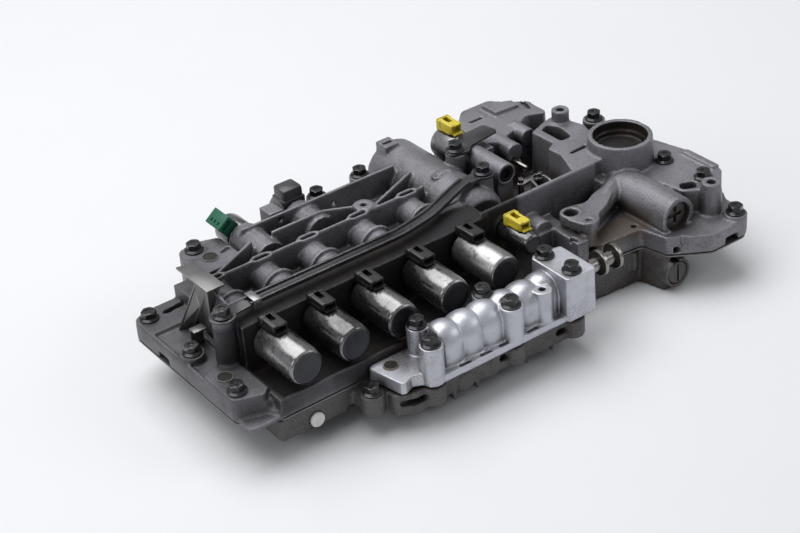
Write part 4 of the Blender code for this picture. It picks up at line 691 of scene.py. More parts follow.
@dataclass(frozen=True)
class Finish:
    """Surface finish: its colours, gloss, relief and wear."""

    name: str
    base: Colour
    dark: Colour
    light: Colour
    roughness: float
    metallic: float = 0.0
    film: float = 0.5
    wear: float = 0.5
    # strength of the painted shade and grime that darkens hollows
    hollow: float = 0.5
    spots: float = 0.0
    grain: float = 900.0
    pits: float = 0.4
    relief: float = 0.15
    spread: float = 0.1
    edge: float = 0.6
    reach: float = 24.0
    streak: float = 1.0
    rust: float = 0.0
    coat: float = 0.0
    fleck: float = 0.0
    specular: float = 0.5
    stains_and_shade: tuple[StainAndShadeRegion, ...] = ()

    def material(self) -> bpy.types.Material:
        """Return the material of the finish, built once.

        Returns:
            The material.
        """
        title = f"{self.name}_finish"
        known = bpy.data.materials.get(title)
        if known is not None:
            return known
        made = bpy.data.materials.new(title)
        made.use_nodes = True
        sheet = Sheet(made.node_tree)
        shader = made.node_tree.nodes["Principled BSDF"]
        shader.inputs["Metallic"].default_value = self.metallic
        shader.inputs["Coat Weight"].default_value = self.coat
        shader.inputs["Specular IOR Level"].default_value = self.specular
        shader.inputs["Coat Roughness"].default_value = 0.12
        skin = sheet.node("ShaderNodeGroup", node_tree=Effects.skin(), Scale=self.grain, Pits=self.pits)
        edges = sheet.node(
            "ShaderNodeGroup", node_tree=Effects.edges(), Width=self.edge * MM, Reach=self.reach * MM,
        )
        stains = sheet.node("ShaderNodeGroup", node_tree=Effects.stains(), Streak=self.streak)
        colour = sheet.mix(sheet.maths("MULTIPLY", stains.outputs["Film"], self.film), self.base, self.dark)
        # painted shade and grime: hollows darken towards the dark colour
        colour = sheet.mix(sheet.maths("MULTIPLY", edges.outputs["HollowShadeAndGrime"], self.hollow), colour, self.dark)
        if self.spots > 0:
            colour = sheet.mix(
                sheet.maths("MULTIPLY", stains.outputs["Spots"], self.spots), colour, self.dark,
            )
        if self.fleck > 0:
            bright = sheet.remap(skin.outputs["Speckle"], (0.46, 0.62), (0.0, 1.0))
            colour = sheet.mix(sheet.maths("MULTIPLY", bright, self.fleck), colour, self.light)
            pitted = sheet.remap(skin.outputs["Speckle"], (0.48, 0.34), (0.0, 1.0))
            colour = sheet.mix(sheet.maths("MULTIPLY", pitted, self.fleck * 2.0), colour, self.dark)
        dull = None
        # regions of real stains and of painted shade, each darkening towards its colour
        for stain_and_shade in self.stains_and_shade:
            region = sheet.node("ShaderNodeGroup", node_tree=Effects.stain_and_shade(), **stain_and_shade.sockets())
            covered = sheet.maths("MULTIPLY", region.outputs["Mask"], stain_and_shade.strength)
            colour = sheet.mix(covered, colour, stain_and_shade.colour)
            dull = covered if dull is None else sheet.maths("MAXIMUM", dull, covered)
        if self.rust > 0:
            low_places = sheet.maths("ADD", edges.outputs["HollowShadeAndGrime"], 0.25)
            patch = sheet.maths("MULTIPLY", stains.outputs["Patch"], low_places)
            colour = sheet.mix(sheet.maths("MULTIPLY", patch, self.rust), colour, RUST)
        colour = sheet.mix(sheet.maths("MULTIPLY", edges.outputs["Edge"], self.wear), colour, self.light)
        sheet.join(colour, shader.inputs["Base Color"])
        low = max(0.05, self.roughness - self.spread)
        gloss = sheet.maths("MULTIPLY", skin.outputs["Speckle"], 0.6)
        gloss = sheet.maths("ADD", gloss, sheet.maths("MULTIPLY", stains.outputs["Film"], -0.35))
        gloss = sheet.remap(gloss, (-0.1, 0.45), (low, min(1.0, self.roughness + self.spread)))
        if dull is not None:
            gloss = sheet.maths("MAXIMUM", gloss, sheet.maths("MULTIPLY", dull, 0.68))
        sheet.join(gloss, shader.inputs["Roughness"])
        bump = sheet.node("ShaderNodeBump", Strength=self.relief, Distance=0.0004)
        sheet.join(skin.outputs["Height"], bump.inputs["Height"])
        sheet.join(bump.outputs["Normal"], shader.inputs["Normal"])
        made.diffuse_color = (*self.base, 1.0)
        return made


# first colour: painted shade and oil, nearly black; last colour: brown oil stain
SHADE_AND_OIL_BLACK: Colour = (0.014, 0.014, 0.015)
# darker grey for the left end of the casting
LEFT_END_GREY: Colour = (0.048, 0.047, 0.050)
OIL_BROWN: Colour = (0.090, 0.064, 0.040)
GREY_CASTING = Finish(
    "grey_casting", (0.225, 0.222, 0.246), (0.012, 0.012, 0.013), (0.56, 0.56, 0.58), 0.38,
    metallic=0.45, film=0.34, wear=0.8, hollow=0.96, spots=0.2, grain=1150.0, relief=0.8, spread=0.14,
    edge=1.6, rust=0.3, fleck=0.17, specular=0.28,
    stains_and_shade=(
        # tray behind the bar: painted shade and oil, nearly black
        StainAndShadeRegion((-186, -77, 33), (66, 1, 92), 4.0, SHADE_AND_OIL_BLACK, 0.93),
        # left end of the casting: darkened towards grey
        StainAndShadeRegion((-300, -180, 0), (-110, 130, 120), 60.0, LEFT_END_GREY, 0.8),
        # walls at the left end: painted shade, nearly black
        StainAndShadeRegion((-200, -30, 47), (-172, 0, 83), 5.0, SHADE_AND_OIL_BLACK, 0.75),
        StainAndShadeRegion((62, 2, 30), (136, 60, 66), 12.0, OIL_BROWN, 0.85),
        StainAndShadeRegion((88, -86, 36), (154, -50, 62), 10.0, OIL_BROWN, 0.75),
    ),
)
DARK_CASTING = Finish(
    "dark_casting", (0.122, 0.118, 0.119), (0.012, 0.011, 0.011), (0.30, 0.30, 0.30), 0.46,
    metallic=0.3, film=0.4, wear=0.6, hollow=0.95, spots=0.35, grain=900.0, relief=0.7, edge=1.5, rust=0.5,
    fleck=0.16, specular=0.3,
)
BRIGHT_CASTING = Finish(
    "bright_casting", (0.54, 0.55, 0.60), (0.07, 0.07, 0.075), (0.88, 0.89, 0.91), 0.36,
    metallic=0.66, film=0.16, wear=0.8, hollow=0.85, spots=0.1, grain=1300.0, relief=0.3, spread=0.12,
    edge=0.8, reach=14.0, rust=0.5, fleck=0.05,
)
SHEET_STEEL = Finish(
    "sheet_steel", (0.20, 0.198, 0.195), (0.06, 0.058, 0.056), (0.55, 0.55, 0.55), 0.36,
    metallic=0.7, film=0.3, wear=0.7, hollow=0.5, grain=1500.0, relief=0.14,
)
CAN_STEEL = Finish(
    "can_steel", (0.36, 0.357, 0.36), (0.020, 0.019, 0.019), (0.60, 0.60, 0.60), 0.26,
    metallic=0.92, film=0.97, wear=0.5, hollow=0.9, spots=0.6, grain=420.0, relief=0.14, spread=0.16,
    edge=0.7, reach=14.0, streak=0.35, fleck=0.06,
)
CAP_BLACK = Finish(
    "cap_black", (0.030, 0.031, 0.036), (0.008, 0.008, 0.010), (0.20, 0.20, 0.22), 0.36,
    metallic=0.3, film=0.4, wear=0.35, hollow=0.3, grain=700.0, relief=0.14, edge=0.5,
)
BOLT_BLACK = Finish(
    "bolt_black", (0.024, 0.024, 0.026), (0.006, 0.006, 0.007), (0.34, 0.34, 0.34), 0.25,
    metallic=0.6, film=0.4, wear=0.8, hollow=0.4, grain=900.0, relief=0.14, edge=0.5, reach=4.0, coat=0.25,
)
BAR_BLACK = Finish(
    "bar_black", (0.050, 0.050, 0.054), (0.008, 0.008, 0.009), (0.34, 0.34, 0.35), 0.3,
    metallic=0.5, film=0.4, wear=0.85, hollow=0.6, grain=1000.0, relief=0.18, edge=0.9, reach=4.0, coat=0.15,
)
BLACK_PLASTIC = Finish(
    "black_plastic", (0.012, 0.012, 0.013), (0.004, 0.004, 0.004), (0.15, 0.15, 0.15), 0.34,
    film=0.3, wear=0.5, hollow=0.7, grain=1800.0, pits=0.1, relief=0.12, edge=0.3, reach=5.0, coat=0.1,
    specular=0.4,
)
CUBE_PLASTIC = Finish(
    "cube_plastic", (0.036, 0.036, 0.040), (0.010, 0.010, 0.011), (0.14, 0.14, 0.15), 0.32,
    film=0.3, wear=0.6, grain=1500.0, pits=0.2, relief=0.14, edge=0.6, reach=6.0, coat=0.15,
)
YELLOW_PLASTIC = Finish(
    "yellow_plastic", (0.70, 0.57, 0.045), (0.13, 0.085, 0.006), (0.84, 0.76, 0.24), 0.36,
    film=0.12, wear=0.5, hollow=0.9, grain=1800.0, pits=0.1, relief=0.08, edge=0.4, reach=6.0,
)
GREEN_PLASTIC = Finish(
    "green_plastic", (0.014, 0.135, 0.078), (0.003, 0.026, 0.014), (0.09, 0.34, 0.23), 0.40,
    film=0.3, wear=0.5, hollow=0.9, spots=0.2, grain=1800.0, pits=0.1, relief=0.1, edge=0.4, reach=8.0,
)
WHITE_PLASTIC = Finish(
    "white_plastic", (0.78, 0.78, 0.76), (0.40, 0.39, 0.36), (0.86, 0.86, 0.85), 0.38,
    film=0.15, wear=0.1, hollow=0.2, grain=1800.0, pits=0.1, relief=0.05, reach=4.0,
)
VALVE_STEEL = Finish(
    "valve_steel", (0.34, 0.33, 0.32), (0.06, 0.055, 0.05), (0.80, 0.80, 0.80), 0.24,
    metallic=1.0, film=0.6, wear=0.8, hollow=0.9, spots=0.3, grain=2200.0, relief=0.08, edge=0.5, reach=12.0,
    rust=0.7,
)
DISC_STEEL = Finish(
    "disc_steel", (0.050, 0.040, 0.032), (0.016, 0.012, 0.009), (0.62, 0.60, 0.58), 0.46,
    metallic=0.4, film=0.5, wear=0.8, hollow=0.9, spots=0.4, grain=1500.0, relief=0.14, edge=0.5, rust=0.9,
)
BRIGHT_STEEL = Finish(
    "bright_steel", (0.33, 0.33, 0.34), (0.08, 0.08, 0.08), (0.66, 0.66, 0.66), 0.30,
    metallic=0.8, film=0.4, wear=0.6, hollow=0.7, grain=1500.0, relief=0.1, edge=0.5, reach=8.0, rust=0.3,
)
CAST_STAIN = Finish(
    "cast_stain", (0.130, 0.124, 0.118), (0.030, 0.028, 0.026), (0.36, 0.35, 0.33), 0.5,
    metallic=0.2, film=0.4, wear=0.9, hollow=0.6, spots=0.5, grain=900.0, relief=0.5, edge=0.7, reach=2.0,
    rust=0.6,
)
# painted shade and oil, near black, for the insides of bores
BORE_SHADE_AND_OIL = Finish(
    "bore_shade_and_oil", (0.022, 0.021, 0.021), (0.006, 0.006, 0.006), (0.20, 0.20, 0.20), 0.42,
    metallic=0.2, film=0.5, wear=0.6, hollow=0.8, spots=0.3, grain=1200.0, relief=0.3, edge=0.8, rust=0.3,
    specular=0.3,
)
PAD_SOIL = Finish(
    "pad_soil", (0.040, 0.036, 0.031), (0.010, 0.009, 0.008), (0.20, 0.19, 0.17), 0.5,
    film=0.6, wear=0.5, hollow=0.6, spots=0.7, grain=700.0, relief=0.8, reach=2.0, rust=0.8, specular=0.15,
)
TAN_STAIN = Finish(
    "tan_stain", (0.235, 0.205, 0.155), (0.070, 0.055, 0.038), (0.56, 0.54, 0.50), 0.5,
    metallic=0.3, film=0.5, wear=0.7, hollow=0.6, spots=0.6, grain=900.0, relief=0.5, edge=0.5, reach=2.0,
    rust=0.5,
)


@dataclass
class Piece:
    """A finished piece with the frame nodes that it stands for."""

    item: bpy.types.Object
    finish: Finish
    slot: str
    nodes: tuple[str, ...] = ()
    body: Body = Body.HOUSING

    def accent(self, finish: Finish, chosen: Callable[[Vector, Vector], bool]) -> None:
        """Give some faces a second finish.

        Args:
            finish: their finish.
            chosen: test of a face by its centre in millimetres and its normal.
        """
        mesh = self.item.data
        mesh.materials.append(finish.material())
        for face in mesh.polygons:
            if chosen(face.center / MM, face.normal):
                face.material_index = len(mesh.materials) - 1

    def place(self) -> bpy.types.Object:
        """Dress the piece, fix it to its body and hide the nodes it stands for.

        Returns:
            The dressed object.
        """
        self.item.data.materials.clear()
        self.item.data.materials.append(self.finish.material())
        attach(self.item, self.body.value)
        if self.nodes:
            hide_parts(*self.nodes)
        LOG.info("%s: %d faces", self.item.name, len(self.item.data.polygons))
        return self.item


@dataclass
class Casting:
    """A cast housing with round bosses, soft edges and a cast skin."""

    node: str
    name: str
    finish: Finish
    slot: str
    voxel: float = 1.0
    rounds: int = 4
    triangles: int = 190_000

    def cleared(self) -> list[bpy.types.Object]:
        """Return the regions of the frame's shape that are modelled anew."""
        return []

    def added(self) -> list[bpy.types.Object]:
        """Return the solids that are joined to the frame's shape."""
        return []

    def removed(self) -> list[bpy.types.Object]:
        """Return the solids that are cut from it."""
        return []

    def build(self) -> None:
        """Model the casting and put it in the scene.

        Every solid is cut before they are put together, and the remesh then fuses them.
        """
        item = Bench.copy_node(self.node, self.name)
        regions = self.cleared()
        Bench.drill(item, regions)
        solids = self.added()
        cutters = self.removed()
        for solid in (item, *solids):
            Bench.drill(solid, cutters)
        Bench.join(item, solids)
        Bench.discard(regions + cutters)
        self.soften(item)
        piece = Piece(item, self.finish, self.slot, (self.node,))
        piece.place()
        self.paint_shade_and_stain(piece)

    def paint_shade_and_stain(self, piece: Piece) -> None:
        """Give parts of the casting another finish.

        Args:
            piece: the dressed casting.
        """

    def soften(self, item: bpy.types.Object) -> None:
        """Round every inner and outer edge as a casting's are.

        Args:
            item: the casting.
        """
        Bench.apply(item, "REMESH", mode="VOXEL", voxel_size=self.voxel * MM, adaptivity=0.0)
        Bench.apply(item, "SMOOTH", factor=0.5, iterations=self.rounds)
        item.data.calc_loop_triangles()
        share = self.triangles / max(1, len(item.data.loop_triangles))
        if share < 1.0:
            Bench.apply(item, "DECIMATE", ratio=share, use_collapse_triangulate=True)
        Bench.take(item)
        bpy.ops.object.shade_smooth()


@dataclass
class UpperCasting(Casting):
    """The large grey casting."""

    node: str = "upper_valve_body"
    name: str = "upper_casting"
    finish: Finish = GREY_CASTING
    slot: str = "cast_grey"
    boss_radii: dict[str, float] = field(default_factory=lambda: {
        "bolt_rear_left": 9.5, "bolt_rear_block": 8.5, "bolt_rear_middle": 8.5, "bolt_rear_barrel": 8.5,
        "bolt_neck_rear": 9.0, "bolt_deck": 9.0, "bolt_deck_front": 9.0, "bolt_corner": 9.0,
    })
    boss_depth: float = 14.0
    solenoid_z: float = 62.1
    hump_radius: float = 11.5
    hump_ends: tuple[float, float] = (-8.0, 47.5)
    crescent_radius: float = 14.6
    crescent_ends: tuple[float, float] = (19.0, 22.5)
    neck: tuple[float, float] = (173.0, -14.7)
    neck_foot: float = 60.0
    neck_top: float = 88.0
    neck_foot_radius: float = 25.6
    neck_top_radius: float = 25.0
    neck_steps: tuple[tuple[float, float, float], ...] = (
        (8.0, -2.0, 21.05), (13.5, 7.0, 19.5), (27.0, 12.0, 18.5),
    )
    neck_shade_and_oil: float = 21.4
    cylinder: tuple[float, float] = (158.0, 55.5)
    cylinder_ends: tuple[float, float] = (-95.0, -35.0)
    cylinder_radius: float = 15.5
    cylinder_bore: float = 11.65
    far_bore: tuple[float, float] = (83.0, 76.5)
    far_ends: tuple[float, float] = (13.0, 56.0)
    far_radius: float = 8.8
    far_inner: float = 6.45
    far_shade_and_oil: float = 6.6
    barrel: tuple[float, float] = (47.0, 55.0)
    barrel_ends: tuple[float, float] = (9.0, 113.0)
    barrel_radius: float = 25.0

    def added(self) -> list[bpy.types.Object]:
        """Return the round bosses, humps and rings."""
        solids = []
        for bolt, radius in self.boss_radii.items():
            head = Span.of(bolt)
            seat = head.high.z - FlangeBolt.head_height - FlangeBolt.gap
            solids.append(Bench.cylinder(
                "boss", (head.middle.x, head.middle.y, 0), Axis.Z, seat - self.boss_depth, seat, radius,
            ))
        for number in range(1, 6):
            x = Span.of(f"linear_solenoid_{number}").middle.x
            centre = (x, 0, self.solenoid_z)
            solids.append(Bench.cylinder("hump", centre, Axis.Y, *self.hump_ends, self.hump_radius))
            solids.append(Bench.cylinder(
                "crescent", centre, Axis.Y, *self.crescent_ends, self.crescent_radius, 72,
            ))
        posts = (
            (-186.5, -14.5, 8.7, 8.0, 50.0, 84.0), (62.0, 15.0, 7.6, 7.2, 60.0, 84.0),
            (66.5, 54.5, 8.0, 8.0, 60.0, 85.5), (94.0, -47.5, 8.5, 8.5, 57.0, 65.6),
            (97.0, -64.0, 6.0, 6.0, 44.0, 65.2),
            (166.5, 48.0, 7.0, 7.0, 60.0, 88.0), (192.0, -94.0, 7.6, 7.6, 60.0, 72.0),
        )
        for x, y, radius, top_radius, low, high in posts:
            solids.append(Bench.cylinder("post", (x, y, 0), Axis.Z, low, high, radius, 48, top_radius))
        solids.append(Bench.cylinder(
            "ring", (*self.neck, 0), Axis.Z, self.neck_foot, self.neck_top,
            self.neck_foot_radius, 96, self.neck_top_radius,
        ))
        for name, (x, z), ends, radius, sides in (
            ("cylinder", self.cylinder, self.cylinder_ends, self.cylinder_radius, 72),
            ("bore", self.far_bore, self.far_ends, self.far_radius, 48),
            ("barrel", self.barrel, self.barrel_ends, self.barrel_radius, 96),
        ):
            solids.append(Bench.cylinder(name, (x, 0, z), Axis.Y, *ends, radius, sides))
        return solids

    def removed(self) -> list[bpy.types.Object]:
        """Return the round bores."""
        ring = (*self.neck, 0)
        top = self.neck_top
        cylinder = (self.cylinder[0], 0, self.cylinder[1])
        far = (self.far_bore[0], 0, self.far_bore[1])
        steps = [
            Bench.cylinder("bore", ring, Axis.Z, top - deep, top - shallow, radius, 96)
            for deep, shallow, radius in self.neck_steps
        ]
        holes = (
            ("bore", cylinder, Axis.Y, -97.0, -35.0, self.cylinder_bore, 72),
            ("bore", far, Axis.Y, 11.0, 52.0, self.far_inner, 48),
            ("eye", (94.0, -47.5, 0), Axis.Z, 52.0, 68.0, 5.4, 48),
            ("hole", (166.5, 48.0, 0), Axis.Z, 81.0, 90.0, 3.2, 32),
            ("hole", (192.0, -94.0, 0), Axis.Z, 64.0, 74.0, 3.6, 32),
            ("hole", (97.0, -64.0, 0), Axis.Z, 62.0, 67.0, 2.2, 24),
            ("hole", (-77.8, 0, 73.0), Axis.Y, 78.0, 88.0, 1.9, 24),
            ("hole", (-30.0, 0, 67.1), Axis.Y, 78.0, 88.0, 1.9, 24),
        )
        return steps + [Bench.cylinder(*hole) for hole in holes]

    def paint_shade_and_stain(self, piece: Piece) -> None:
        """Paint shade and oil black into the neck's bore and the far bore.

        Args:
            piece: the dressed casting.
        """
        neck = Vector((*self.neck, 0))
        far = Vector((self.far_bore[0], 0, self.far_bore[1]))
        # painted shade and oil inside the neck's bore and the far bore
        piece.accent(
            BORE_SHADE_AND_OIL,
            lambda centre, normal: (
                ((centre - neck).xy.length < self.neck_shade_and_oil and centre.z < self.neck_top - 0.7)
                or ((centre - far).xz.length < self.far_shade_and_oil and centre.y > 13.5)
            ),
        )


@dataclass
class LowerCasting(Casting):
    """The lower casting with the oil channels."""

    node: str = "lower_valve_body"
    name: str = "lower_casting"
    finish: Finish = DARK_CASTING
    slot: str = "cast_dark"
    voxel: float = 1.1
    triangles: int = 120_000


@dataclass
class ManualCasting(Casting):
    """The bright casting of the manual valve, with waves along its bore."""

    node: str = "manual_valve_body"
    name: str = "manual_casting"
    finish: Finish = BRIGHT_CASTING
    slot: str = "cast_bright"
    voxel: float = 0.6
    rounds: int = 4
    triangles: int = 150_000
    axis: tuple[float, float] = (-95.0, 50.0)
    crest: float = 14.6
    wave: float = 3.1
    left: float = -72.0
    right: float = 29.5
    pitch: float = 17.5
    lip: float = 36.3
    bore: float = 8.05

    def reach(self, x: float) -> float:
        """Return the radius of the waved housing.

        Args:
            x: place along the bore.

        Returns:
            The radius there.
        """
        phase = abs(math.sin(math.pi * (x - self.left) / self.pitch))
        return self.crest - self.wave * (1.0 - phase ** 0.5)

    def stations(self) -> list[float]:
        """Return the places along the bore where the wave is drawn."""
        count = 90
        return [self.left + (self.right - self.left) * index / count for index in range(count + 1)]

    def seats(self) -> list[tuple[float, float, float]]:
        """Return the places and seat levels of the bolts."""
        found = []
        for side in ("front", "rear"):
            for number in range(1, 4):
                head = Span.of(f"bolt_manual_{side}_{number}")
                seat = head.high.z - FlangeBolt.head_height - FlangeBolt.gap
                found.append((head.middle.x, head.middle.y, seat))
        return found

    def cleared(self) -> list[bpy.types.Object]:
        """Return the region of the waved housing."""
        y = self.axis[0]
        low = (self.left - 1.5, y - self.crest - 0.6, self.lip + 0.05)
        return [Bench.box("region", low, (self.right - 0.9, y + self.crest + 0.6, 66.0))]

    def added(self) -> list[bpy.types.Object]:
        """Return the waved housing, its round bosses and the post."""
        y, z = self.axis
        places = self.stations()
        crown = [(self.left, 0.0)] + [(x, self.reach(x)) for x in places] + [(self.right, 0.0)]
        near = [(x, y - self.reach(x)) for x in places]
        far = [(x, y + self.reach(x)) for x in reversed(places)]
        solids = [
            Bench.spun("crown", (0, y, z), Axis.X, crown, 96),
            Bench.slab("skirt", near + far, self.lip - 2.0, z),
            Bench.cylinder("post", (16.0, -106.6, 0), Axis.Z, 34.0, 61.5, 7.4),
        ]
        for x, place_y, seat in self.seats():
            if seat < 66.0:
                solids.append(Bench.cylinder(
                    "boss", (x, place_y, 0), Axis.Z, 33.0, seat + 1.3, self.boss(place_y),
                ))
        return solids

    def boss(self, y: float) -> float:
        """Return the radius of a bolt's boss.

        Args:
            y: place of the bolt across the casting.

        Returns:
            The radius, larger along the front.
        """
        return 8.5 if y < self.axis[0] else 7.8

    def removed(self) -> list[bpy.types.Object]:
        """Return the bore, the spot faces of the bolts and the hole of the post."""
        y, z = self.axis
        solids = [
            Bench.cylinder("bore", (0, y, z), Axis.X, -66.0, 60.0, self.bore, 72),
            Bench.cylinder("hole", (16.0, -106.6, 0), Axis.Z, 50.0, 63.0, 2.6, 32),
        ]
        for x, place_y, seat in self.seats():
            wide = self.boss(place_y) + 0.07 if seat < 66.0 else 7.6
            solids.append(Bench.spun("seat", (x, place_y, 0), Axis.Z, [
                (seat - 14.0, 0.0), (seat - 14.0, 3.2), (seat, 3.2), (seat, wide), (seat + 14.0, wide),
                (seat + 14.0, 0.0),
            ], 48))
        return solids


@dataclass
class FlangeBolt:
    """Flange bolts with six-sided, dimpled heads."""

    head_height: float = 6.4
    gap: float = 0.3
    flats: float = 10.0
    flange_radius: float = 7.2
    shank_radius: float = 2.9

    def template(self) -> bpy.types.Object:
        """Model one bolt with its seat at the origin.

        Returns:
            The bolt.
        """
        flange = Bench.spun("bolt", (0, 0, 0), Axis.Z, [
            (-13.0, 0.0), (-13.0, 2.3), (-12.4, self.shank_radius), (0.0, self.shank_radius),
            (0.0, self.flange_radius - 0.1), (0.25, self.flange_radius), (0.9, self.flange_radius),
            (1.9, self.flange_radius - 1.6), (1.9, 0.0),
        ], 48)
        hexagon = self.flats / math.sqrt(3)
        head = Bench.cylinder("head", (0, 0, 0), Axis.Z, 1.0, self.head_height, hexagon, 6)
        Bench.bevel(head, 0.3, 2, 20.0)
        crown = Bench.spun("crown", (0, 0, 0), Axis.Z, [
            (0.5, 0.0), (0.5, hexagon + 1.0), (self.head_height - 1.3, hexagon + 1.0),
            (self.head_height, hexagon - 0.9), (self.head_height, 2.6),
            (self.head_height - 0.9, 2.2), (self.head_height - 1.1, 0.0),
        ], 48)
        Bench.combine(head, [crown], "INTERSECT")
        Bench.combine(flange, [head], "UNION")
        Bench.smooth(flange, 32.0)
        return flange

    def build(self) -> None:
        """Place a bolt at every bolt node of the frame."""
        template = self.template()
        names = sorted(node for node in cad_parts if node.startswith("bolt_"))
        for index, node in enumerate(names):
            span = Span.of(node)
            seat = span.high.z - self.head_height
            place = Vector((span.middle.x, span.middle.y, seat)) * MM
            turn = Matrix.Rotation(math.radians(17.0 * index), 4, "Z")
            item = Bench.copy_to(template, f"{node}_dressed", Matrix.Translation(place) @ turn)
            Piece(item, BOLT_BLACK, "black_steel", (node,)).place()
        bpy.data.objects.remove(template, do_unlink=True)


class Plug(Enum):
    """Shapes of plug block."""

    HOODED = "hooded"
    BOXED = "boxed"
    CUBE = "cube"


@dataclass
class Connector:
    """Plug block that saddles a solenoid can."""

    node: str
    can: str
    finish: Finish
    slot: str
    kind: Plug = Plug.HOODED
    wall: float = 1.6
    lean: float = 0.0

    @property
    def plain(self) -> bool:
        """Whether the block has no open front."""
        return self.kind is not Plug.HOODED

    def build(self) -> None:
        """Model the plug block over its can."""
        can = Span.of(self.can)
        radius = (can.high.x - can.low.x) / 2
        axis = (can.middle.x, 0, can.middle.z)
        low, high = self.upright_span(axis)
        if self.kind is Plug.HOODED:
            item = self.hood(low, high, can.middle.z + radius)
        elif self.kind is Plug.BOXED:
            item = self.boxed(low, high)
        else:
            item = self.cube(low, high)
        saddle = Bench.cylinder("saddle", axis, Axis.Y, low.y - 15, high.y + 15, radius + 0.3, 64)
        Bench.combine(item, [saddle], "DIFFERENCE")
        Bench.smooth(item, 30.0)
        if self.lean:
            pivot = Matrix.Translation(Vector(axis) * MM)
            item.data.transform(pivot @ Matrix.Rotation(math.radians(-self.lean), 4, "Y") @ pivot.inverted())
        Piece(item, self.finish, self.slot, (self.node,)).place()

    def hood(self, low: Vector, high: Vector, crown: float) -> bpy.types.Object:
        """Model a hood that is open at its front, with a collar and a lower lip.

        Args:
            low: lowest corner of the block.
            high: highest corner of the block.
            crown: level of the top of the can.

        Returns:
            The hood.
        """
        middle = (low.x + high.x) / 2
        half = (high.x - low.x) / 2
        depth = high.y - low.y
        item = Bench.box(
            f"{self.node}_dressed", (middle - half + 0.7, low.y, low.z + 1.6),
            (middle + half - 0.7, high.y - 1, high.z - 0.4),
        )
        Bench.bevel(item, 0.9, 3)
        collar = Bench.box(
            "collar", (middle - half, high.y - depth * 0.3, low.z), (middle + half, high.y, high.z),
        )
        Bench.bevel(collar, 1.3, 4)
        floor = crown + 0.5
        solids = [
            collar,
            Bench.box(
                "lip", (middle - half + 2.0, low.y - 3.0, floor),
                (middle + half - 2.0, low.y + 2, floor + 1.0),
            ),
            Bench.box(
                "rail", (middle - half, low.y + 2.5, floor + 0.4), (middle + half, high.y - 2, floor + 1.8),
            ),
            Bench.box(
                "tongue", (middle - 2.3, low.y - 1.0, high.z - 1.5),
                (middle + 2.3, low.y + 3, high.z - 0.1),
            ),
        ]
        centre = (low.y + high.y) / 2 + depth * 0.1
        front = low.y - 1
        cuts = [
            Bench.box(
                "mouth", (middle - half + 0.7 + self.wall, front, floor + 1.0),
                (middle + half - 0.7 - self.wall, low.y + 9, high.z - self.wall - 0.5),
            ),
            Bench.box(
                "slot", (middle - 2.2, centre - 4.2, high.z - 3.6),
                (middle + 2.2, centre + 4.2, high.z + 1),
            ),
            Bench.box(
                "side", (middle - half - 1, low.y + 3.4, floor - 3.4),
                (middle - half + 1.4, high.y - depth * 0.4, floor + 0.4),
            ),
            Bench.box(
                "side", (middle + half - 1.4, low.y + 3.4, floor - 3.4),
                (middle + half + 1, high.y - depth * 0.4, floor + 0.4),
            ),
            Bench.box(
                "under", (middle - half - 1, front, low.z - 1),
                (middle + half + 1, low.y + 3.4, floor - 0.9),
            ),
            Bench.box(
                "groove", (middle - half - 1, high.y - 2.6, high.z - 0.7),
                (middle + half + 1, high.y - 1.8, high.z + 1),
            ),
        ]
        Bench.combine(item, solids, "UNION")
        return Bench.combine(item, cuts, "DIFFERENCE")

    def boxed(self, low: Vector, high: Vector) -> bpy.types.Object:
        """Model a closed box with small windows, side grooves and a shallow front slot.

        Args:
            low: lowest corner of the block.
            high: highest corner of the block.

        Returns:
            The box.
        """
        middle = (low.x + high.x) / 2
        item = Bench.box(f"{self.node}_dressed", low, high)
        Bench.bevel(item, 0.8, 3)
        cuts = []
        for step in range(3):
            near = low.y + 3.0 + 4.6 * step
            cuts.append(Bench.box(
                "window", (middle - 3.6, near, high.z - 0.8), (middle - 1.0, near + 2.6, high.z + 1),
            ))
        cuts.append(Bench.box(
            "seam", (low.x - 1, low.y - 1, high.z - 6.4), (low.x + 0.5, high.y + 1, high.z - 5.6),
        ))
        cuts.append(Bench.box(
            "seam", (high.x - 0.5, low.y - 1, high.z - 6.4), (high.x + 1, high.y + 1, high.z - 5.6),
        ))
        cuts.append(Bench.box(
            "mouth", (low.x + 2.4, low.y - 1, high.z - 5.0), (high.x - 2.4, low.y + 1.2, high.z - 2.0),
        ))
        return Bench.combine(item, cuts, "DIFFERENCE")

    def cube(self, low: Vector, high: Vector) -> bpy.types.Object:
        """Model a heavy block with broad chamfers and a band round its foot.

        Args:
            low: lowest corner of the block.
            high: highest corner of the block.

        Returns:
            The block.
        """
        item = Bench.box(
            f"{self.node}_dressed", (low.x + 0.8, low.y + 0.6, low.z), (high.x - 0.8, high.y - 0.6, high.z),
        )
        Bench.bevel(item, 2.4, 2)
        band = Bench.box("band", (low.x, low.y, low.z), (high.x, high.y, high.z - 8.5))
        Bench.bevel(band, 0.8, 2)
        return Bench.combine(item, [band], "UNION")

    def upright_span(self, axis: Point) -> tuple[Vector, Vector]:
        """Return the block's corners before it is leaned over.

        Args:
            axis: point on the can's axis.

        Returns:
            The lowest and highest corner.
        """
        span = Span.of(self.node)
        if not self.lean:
            low = span.low.copy()
            if not self.plain:
                low.y += 4.0
            return low, span.high
        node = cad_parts[self.node]
        pivot = Matrix.Translation(Vector(axis) * MM)
        upright = pivot @ Matrix.Rotation(math.radians(self.lean), 4, "Y") @ pivot.inverted()
        points = [upright @ vertex.co / MM for vertex in node.data.vertices]
        low = Vector([min(point[index] for point in points) for index in range(3)])
        high = Vector([max(point[index] for point in points) for index in range(3)])
        return low, high


